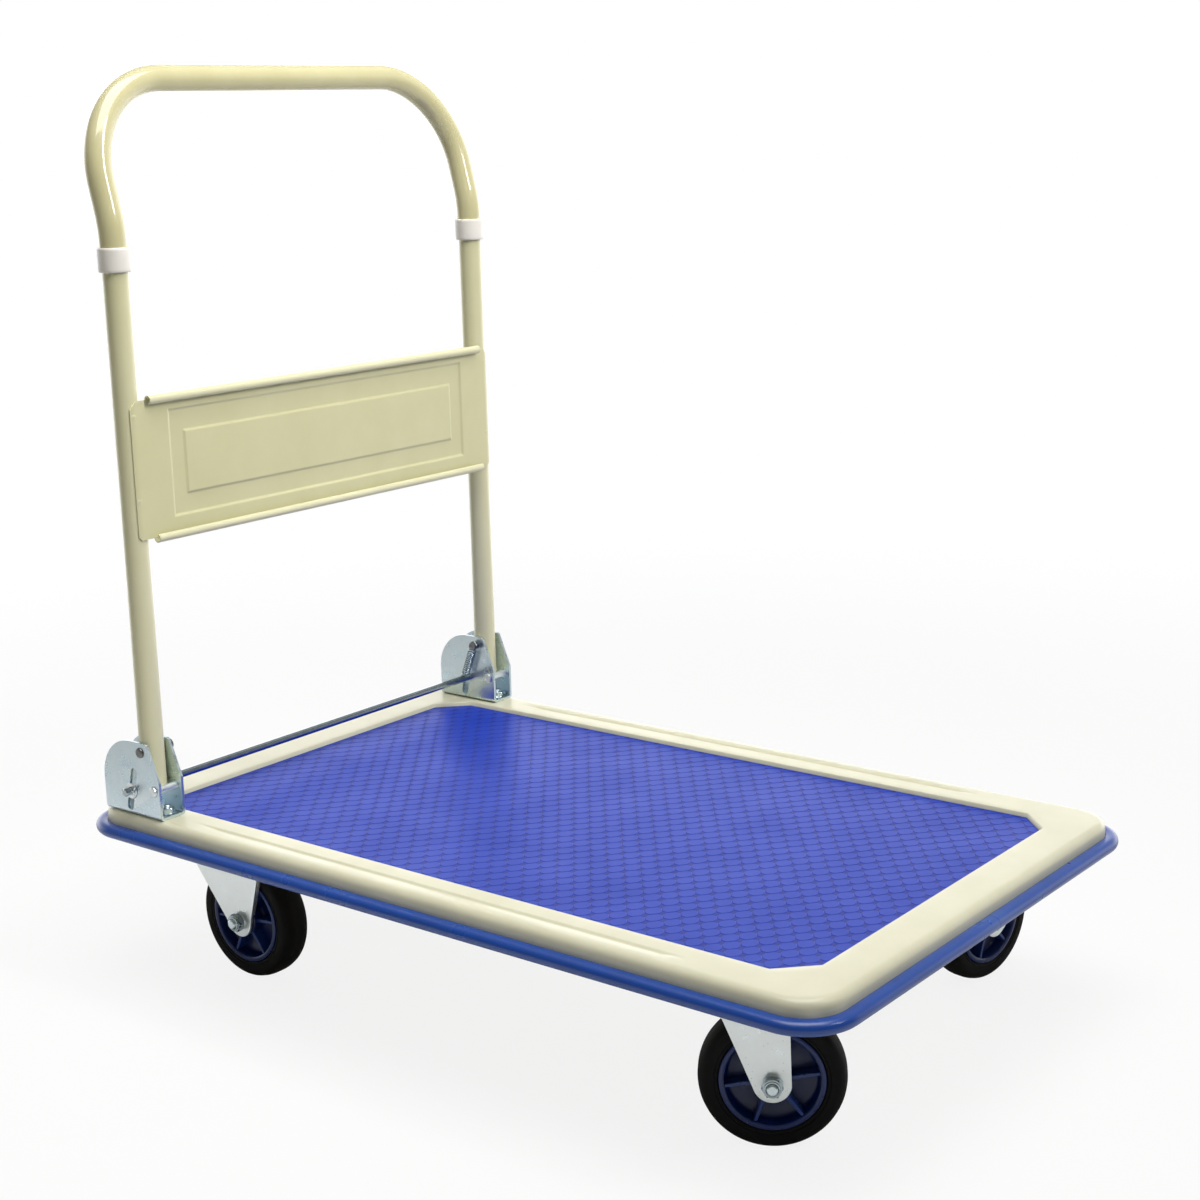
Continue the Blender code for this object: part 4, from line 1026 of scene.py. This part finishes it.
def foldedShell(start, end, top, bottom):
    # an upside down U along X
    outer, fold = fork["half"] + fork["sheet"], fork["fold"]
    tight = fold - fork["sheet"]
    section = [(outer, bottom)] + [(outer - fold + a, top - fold + b) for a, b in arc((0, 0), fold, 0, 90, 6)]
    section += [(-a, b) for a, b in section[::-1]]
    under = top - fork["sheet"]
    inside = [(fork["half"], bottom)] + [(fork["half"] - tight + a, under - tight + b)
                                         for a, b in arc((0, 0), tight, 0, 90, 4)]
    section += [(-a, b) for a, b in inside] + inside[::-1]
    return extrude([(start, a, b) for a, b in section], (end - start, 0, 0))


def buildSwivel(side, sign):
    name = f"front_{side}"
    body = f"front_{side}_swivel"
    wheelAt = middle(f"{name}_tyre")
    king = middle(f"{name}_kingpin")
    turn = math.atan2(wheelAt.y - king.y, wheelAt.x - king.x)
    place = at(wheelAt.x, wheelAt.y, wheelAt.z) @ Matrix.Rotation(turn, 4, "Z")
    buildWheel(name, place, 0.35 + 0.5 * sign)
    buildAxle(name, body, place, sign)
    raceLow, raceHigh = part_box(f"{name}_bearing_race")
    crown = raceLow.z - 0.3 * mm - wheelAt.z
    trail, leg = fork["trail"], fork["leg"]
    reach = (raceHigh.x - raceLow.x) / 2
    outline = [(leg * 0.88, crown + mm), (-trail - reach, crown + mm), (-trail - reach, crown - 5 * mm),
               (-trail - reach + 2.5 * mm, crown - 9 * mm), (-trail - 12 * mm, crown - 13 * mm),
               (-trail - 7.2 * mm, crown - 16.5 * mm)]
    outline += [(-28.6 * mm, 25.6 * mm)]
    outline += arc((0, 0), leg, 203, 352, 18)
    blank = extrude([(a, -40 * mm, b) for a, b in outline], (0, 80 * mm, 0))
    cuts = [("INTERSECT", blank), ("DIFFERENCE", drum(5.4 * mm, -40 * mm, 40 * mm, 28)),
            ("DIFFERENCE", drum(6.3 * mm, -20 * mm, 20 * mm, 28, at(-trail, 0, crown) @ upright))]
    shape = carve(foldedShell(-trail - reach - 2 * mm, 30 * mm, crown, -30 * mm), *cuts)
    bmesh.ops.transform(shape, matrix=place, verts=shape.verts)
    addPiece(f"{name}_swivel_fork", shape, "freshZincSheet", body, (f"{name}_fork",), soften=0.4 * mm)
    race = bmesh.new()
    bore = 6.3 * mm
    tall = raceHigh.z - raceLow.z
    profile = [(bore, 0), (reach - 3 * mm, 0), (reach - 0.6 * mm, 0.8 * mm), (reach, 2 * mm),
               (reach - 0.3 * mm, 3.6 * mm), (reach - 1.6 * mm, 4.4 * mm), (reach - 3.4 * mm, 4.5 * mm),
               (reach - 3.6 * mm, 5.1 * mm), (reach - 2.2 * mm, 5.4 * mm), (reach - 1.4 * mm, 6.2 * mm),
               (reach - 2.4 * mm, 7.6 * mm), (reach - 6 * mm, tall), (bore, tall)]
    lathe(race, [(a, -b) for a, b in profile], 64, at(king.x, king.y, raceLow.z) @ upright)
    addPiece(f"{name}_swivel_head", race, "zincPlatedSteel", body, (f"{name}_bearing_race",), crease=28)
    pin = bmesh.new()
    pinLow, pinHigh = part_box(f"{name}_kingpin")
    r = 6 * mm
    lathe(pin, [(0, -pinHigh.z), (r - 0.6 * mm, -pinHigh.z), (r, -pinHigh.z + 0.6 * mm), (r, -pinLow.z - 4 * mm),
                (9.6 * mm, -pinLow.z - 4 * mm), (9.6 * mm, -pinLow.z - 2.4 * mm), (8.2 * mm, -pinLow.z - 0.6 * mm),
                (6 * mm, -pinLow.z), (0, -pinLow.z)], 40, at(king.x, king.y, 0) @ upright)
    addPiece(f"{name}_king_rivet", pin, "turnedSteel", "deck", (f"{name}_kingpin",), crease=30)
    buildPlate(name, king)


plate = dict(slotX=37 * mm, slotY=29 * mm, slot=4.2 * mm, slotLong=5 * mm)


def buildFixings(shape, x, y, low, high):
    # a bolt head below the plate with a washer, and its nut above the channel's web
    lathe(shape, [(4 * mm, -low), (8 * mm, -low), (8 * mm, -low + 1.2 * mm), (4 * mm, -low + 1.2 * mm)], 28,
          at(x, y, 0) @ upright)
    hexNut(shape, 13 * mm, 5 * mm, 0, at(x, y, 0) @ upright @ at(0, -low + 1.2 * mm, 0))
    lathe(shape, [(0, -high - 8 * mm), (3.4 * mm, -high - 8 * mm), (4 * mm, -high - 7.4 * mm), (4 * mm, -low),
                  (0, -low)], 24, at(x, y, 0) @ upright)
    hexNut(shape, 13 * mm, 6 * mm, 4.1 * mm, at(x, y, 0) @ upright @ at(0, -high - 6 * mm, 0))


def buildPlate(name, king):
    low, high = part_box(f"{name}_top_plate")
    cx, cy = (low.x + high.x) / 2, (low.y + high.y) / 2
    outline = plan((high.x - low.x) / 2, (high.y - low.y) / 2, 8 * mm, False, 2, 2, 6)
    slab = extrude([(cx + x, cy + y, low.z) for x, y in outline], (0, 0, high.z - low.z))
    cuts = [("DIFFERENCE", drum(6.4 * mm, -20 * mm, 20 * mm, 28, at(king.x, king.y, low.z) @ upright))]
    fixings = bmesh.new()
    for sx in (1, -1):
        for sy in (1, -1):
            x, y = cx + sx * plate["slotX"], cy + sy * plate["slotY"]
            ends = []
            for shift, start in ((plate["slotLong"] / 2, -90), (-plate["slotLong"] / 2, 90)):
                ends += [(x + shift + a, y + b, low.z - 5 * mm)
                         for a, b in arc((0, 0), plate["slot"], start, start + 180, 8)]
            cuts.append(("DIFFERENCE", extrude(ends, (0, 0, 15 * mm))))
            buildFixings(fixings, x, y, low.z, high.z + 2.3 * mm)
    shape = carve(slab, *cuts)
    addPiece(f"{name}_caster_plate", shape, "zincPlatedSteel", "deck", (f"{name}_top_plate",), soften=0.4 * mm)
    addPiece(f"{name}_plate_bolts", fixings, "zincPlatedSteel", "deck", crease=25)


def buildFixed(side, sign):
    name = f"rear_{side}"
    wheelAt = middle(f"{name}_tyre")
    place = at(wheelAt.x, wheelAt.y, wheelAt.z)
    buildWheel(name, place, 0.2 + 0.3 * sign)
    buildAxle(name, "deck", place, sign)
    low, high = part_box(f"{name}_fork")
    top = high.z - wheelAt.z
    back, front = low.x - wheelAt.x, high.x - wheelAt.x
    outline = [(front, top + mm), (back, top + mm), (back, 54 * mm), (back + 2 * mm, 50 * mm)]
    outline += arc((0, 0), fork["leg"], 200, 352, 18)
    outline += [(19 * mm, 8 * mm), (front - 2 * mm, 52 * mm), (front, 57 * mm)]
    blank = extrude([(a, -40 * mm, b) for a, b in outline], (0, 80 * mm, 0))
    cuts = [("INTERSECT", blank), ("DIFFERENCE", drum(5.4 * mm, -40 * mm, 40 * mm, 28))]
    shape = carve(foldedShell(back - 2 * mm, front + 2 * mm, top, -30 * mm), *cuts)
    # stiffening ribs pressed along the front edge of each leg
    for face in (1, -1):
        inner = face * (fork["half"] + 0.2 * mm)
        turned = [(front - 0.4 * mm, 56 * mm), (18.6 * mm, 9 * mm)]
        flange = extrude([(turned[0][0], inner, turned[0][1]), (turned[0][0] - 2.4 * mm, inner, turned[0][1]),
                          (turned[1][0] - 2.4 * mm, inner, turned[1][1]), (turned[1][0], inner, turned[1][1])],
                         (0, -face * 3.4 * mm, 0))
        append(shape, flange)
    bmesh.ops.transform(shape, matrix=place, verts=shape.verts)
    addPiece(f"{name}_rigid_fork", shape, "freshZincSheet", "deck", (f"{name}_fork",), soften=0.4 * mm)
    fixings = bmesh.new()
    cx = (low.x + high.x) / 2
    for sx in (1, -1):
        buildFixings(fixings, cx + sx * 34 * mm, wheelAt.y, high.z - fork["sheet"], high.z + 2.3 * mm)
    addPiece(f"{name}_fork_bolts", fixings, "zincPlatedSteel", "deck", crease=25)


for side, sign in sides.items():
    buildSwivel(side, sign)
    buildFixed(side, sign)
print("casters built")

# floor, light and camera

studio = dict(floor="#E2E2E0", lift=0.85, dim=0.13, bright=2.1, crest=0.5, overhead=0.45, fadeStart=0.9, fadeEnd=2.4)
lamps = {"overhead": dict(power=62.0, size=(2.2, 2.0), place=(0.3, -0.2, 2.9), aim=(0.1, 0, 0.3), spread=180),
         "side strip": dict(power=3.9, size=(0.3, 1.2), place=(1.7, 0.2, 2.1), aim=(-0.42, 0, 0.74), spread=50)}


def buildStudio():
    scene = bpy.context.scene
    shape = bmesh.new()
    count = 96
    rings = []
    for radius, z in ((0.01, 0), (1, 0), (4, 0), (12, 0), (40, 0)):
        rings.append([(radius * math.cos(2 * math.pi * k / count), radius * math.sin(2 * math.pi * k / count), z)
                      for k in range(count)])
    loops = skin(shape, rings)
    shape.faces.new(loops[0])
    mesh = bpy.data.meshes.new("studio_floor")
    shape.to_mesh(mesh)
    shape.free()
    floor = bpy.data.objects.new("studio_floor", mesh)
    # painted plywood floor: pale and matt
    paint = surface("mattFloorPaint", dict(colour=studio["floor"], second=studio["floor"], patch=400, grain=6,
                                           rough=(0.75, 0.85), relief=0.02))
    # the paint fades into the white backdrop away from the trolley
    tree = paint.node_tree
    place = addNode(tree, "ShaderNodeTexCoord").outputs["Object"]
    away = addNode(tree, "ShaderNodeVectorMath", {0: place}, operation="LENGTH")
    fade = addNode(tree, "ShaderNodeMapRange", {"Value": away.outputs["Value"], "From Min": studio["fadeStart"],
                                                "From Max": studio["fadeEnd"], "To Min": 1.0, "To Max": 0.0})
    fade.interpolation_type = "SMOOTHSTEP"
    tree.links.new(fade.outputs["Result"], tree.nodes["Principled BSDF"].inputs["Alpha"])
    # part of the floor glows white, so that the shadow under the trolley stays faint
    white = addNode(tree, "ShaderNodeEmission", {"Color": (1, 1, 1, 1), "Strength": 1.0})
    seen = addNode(tree, "ShaderNodeLightPath").outputs["Is Camera Ray"]
    lift = addNode(tree, "ShaderNodeMath", {0: seen, 1: studio["lift"]}, operation="MULTIPLY")
    mixed = addNode(tree, "ShaderNodeMixShader", {0: lift.outputs["Value"],
                                                  1: tree.nodes["Principled BSDF"].outputs["BSDF"],
                                                  2: white.outputs["Emission"]})
    tree.links.new(mixed.outputs["Shader"], tree.nodes["Material Output"].inputs["Surface"])
    mesh.materials.append(paint)
    scene.collection.objects.link(floor)
    # a white backdrop behind the handle, a darker room before it
    world = bpy.data.worlds.new("studio")
    world.use_nodes = True
    tree = world.node_tree
    tree.nodes.clear()
    where = addNode(tree, "ShaderNodeTexCoord").outputs["Generated"]
    back = addNode(tree, "ShaderNodeVectorMath", {0: where, 1: (-0.62, 0.78, 0.05)}, operation="DOT_PRODUCT")
    rise = addNode(tree, "ShaderNodeSeparateXYZ", {"Vector": where})
    crest = addNode(tree, "ShaderNodeMapRange", {"Value": rise.outputs["Z"], "From Min": 0.27, "From Max": 0.42,
                                                 "To Min": studio["bright"], "To Max": studio["crest"]})
    glow = addNode(tree, "ShaderNodeMapRange", {"Value": back.outputs["Value"], "From Min": -0.1, "From Max": 0.75,
                                                "To Min": studio["dim"], "To Max": crest.outputs["Result"]})
    glow.interpolation_type = "SMOOTHSTEP"
    top = addNode(tree, "ShaderNodeMapRange", {"Value": rise.outputs["Z"], "From Min": 0.45, "From Max": 0.9,
                                               "To Min": 0.0, "To Max": studio["overhead"]})
    light = addNode(tree, "ShaderNodeMath", {0: glow.outputs["Result"], 1: top.outputs["Result"]},
                    operation="MAXIMUM")
    seen = addNode(tree, "ShaderNodeLightPath").outputs["Is Camera Ray"]
    level = addNode(tree, "ShaderNodeMix", {"Factor": seen, "A": light.outputs["Value"], "B": 1.0})
    wash = addNode(tree, "ShaderNodeBackground", {"Strength": level.outputs["Result"]})
    wash.inputs["Color"].default_value = linear("#FFFFFF")
    addNode(tree, "ShaderNodeOutputWorld", {"Surface": wash.outputs["Background"]})
    scene.world = world
    for name, lamp in lamps.items():
        light = bpy.data.lights.new(name, "AREA")
        light.shape = "RECTANGLE"
        light.energy = lamp["power"]
        light.size, light.size_y = lamp["size"]
        light.spread = math.radians(lamp["spread"])
        holder = bpy.data.objects.new(name, light)
        holder.location = lamp["place"]
        holder.rotation_euler = (Vector(lamp["aim"]) - Vector(lamp["place"])).to_track_quat("-Z", "Y").to_euler()
        scene.collection.objects.link(holder)


view = dict(azimuth=38.19265, elevation=13.17556, roll=-1.45494, place=(1.26008, -1.57917, 0.88329), lens=61.905)


def buildCamera():
    az, el, roll = (math.radians(view[key]) for key in ("azimuth", "elevation", "roll"))
    back = Vector((math.sin(az) * math.cos(el), -math.cos(az) * math.cos(el), math.sin(el)))
    right = Vector((math.cos(az), math.sin(az), 0))
    up = back.cross(right)
    axes = (math.cos(roll) * right + math.sin(roll) * up, math.cos(roll) * up - math.sin(roll) * right, back)
    data = bpy.data.cameras.new("camera")
    data.sensor_width = 36
    data.lens = view["lens"]
    camera = bpy.data.objects.new("camera", data)
    turned = Matrix(axes).transposed().to_4x4()
    camera.matrix_world = Matrix.Translation(view["place"]) @ turned
    bpy.context.scene.collection.objects.link(camera)
    bpy.context.scene.camera = camera


buildStudio()
buildCamera()
bpy.context.scene.view_settings.view_transform = "Standard"
print("studio built")
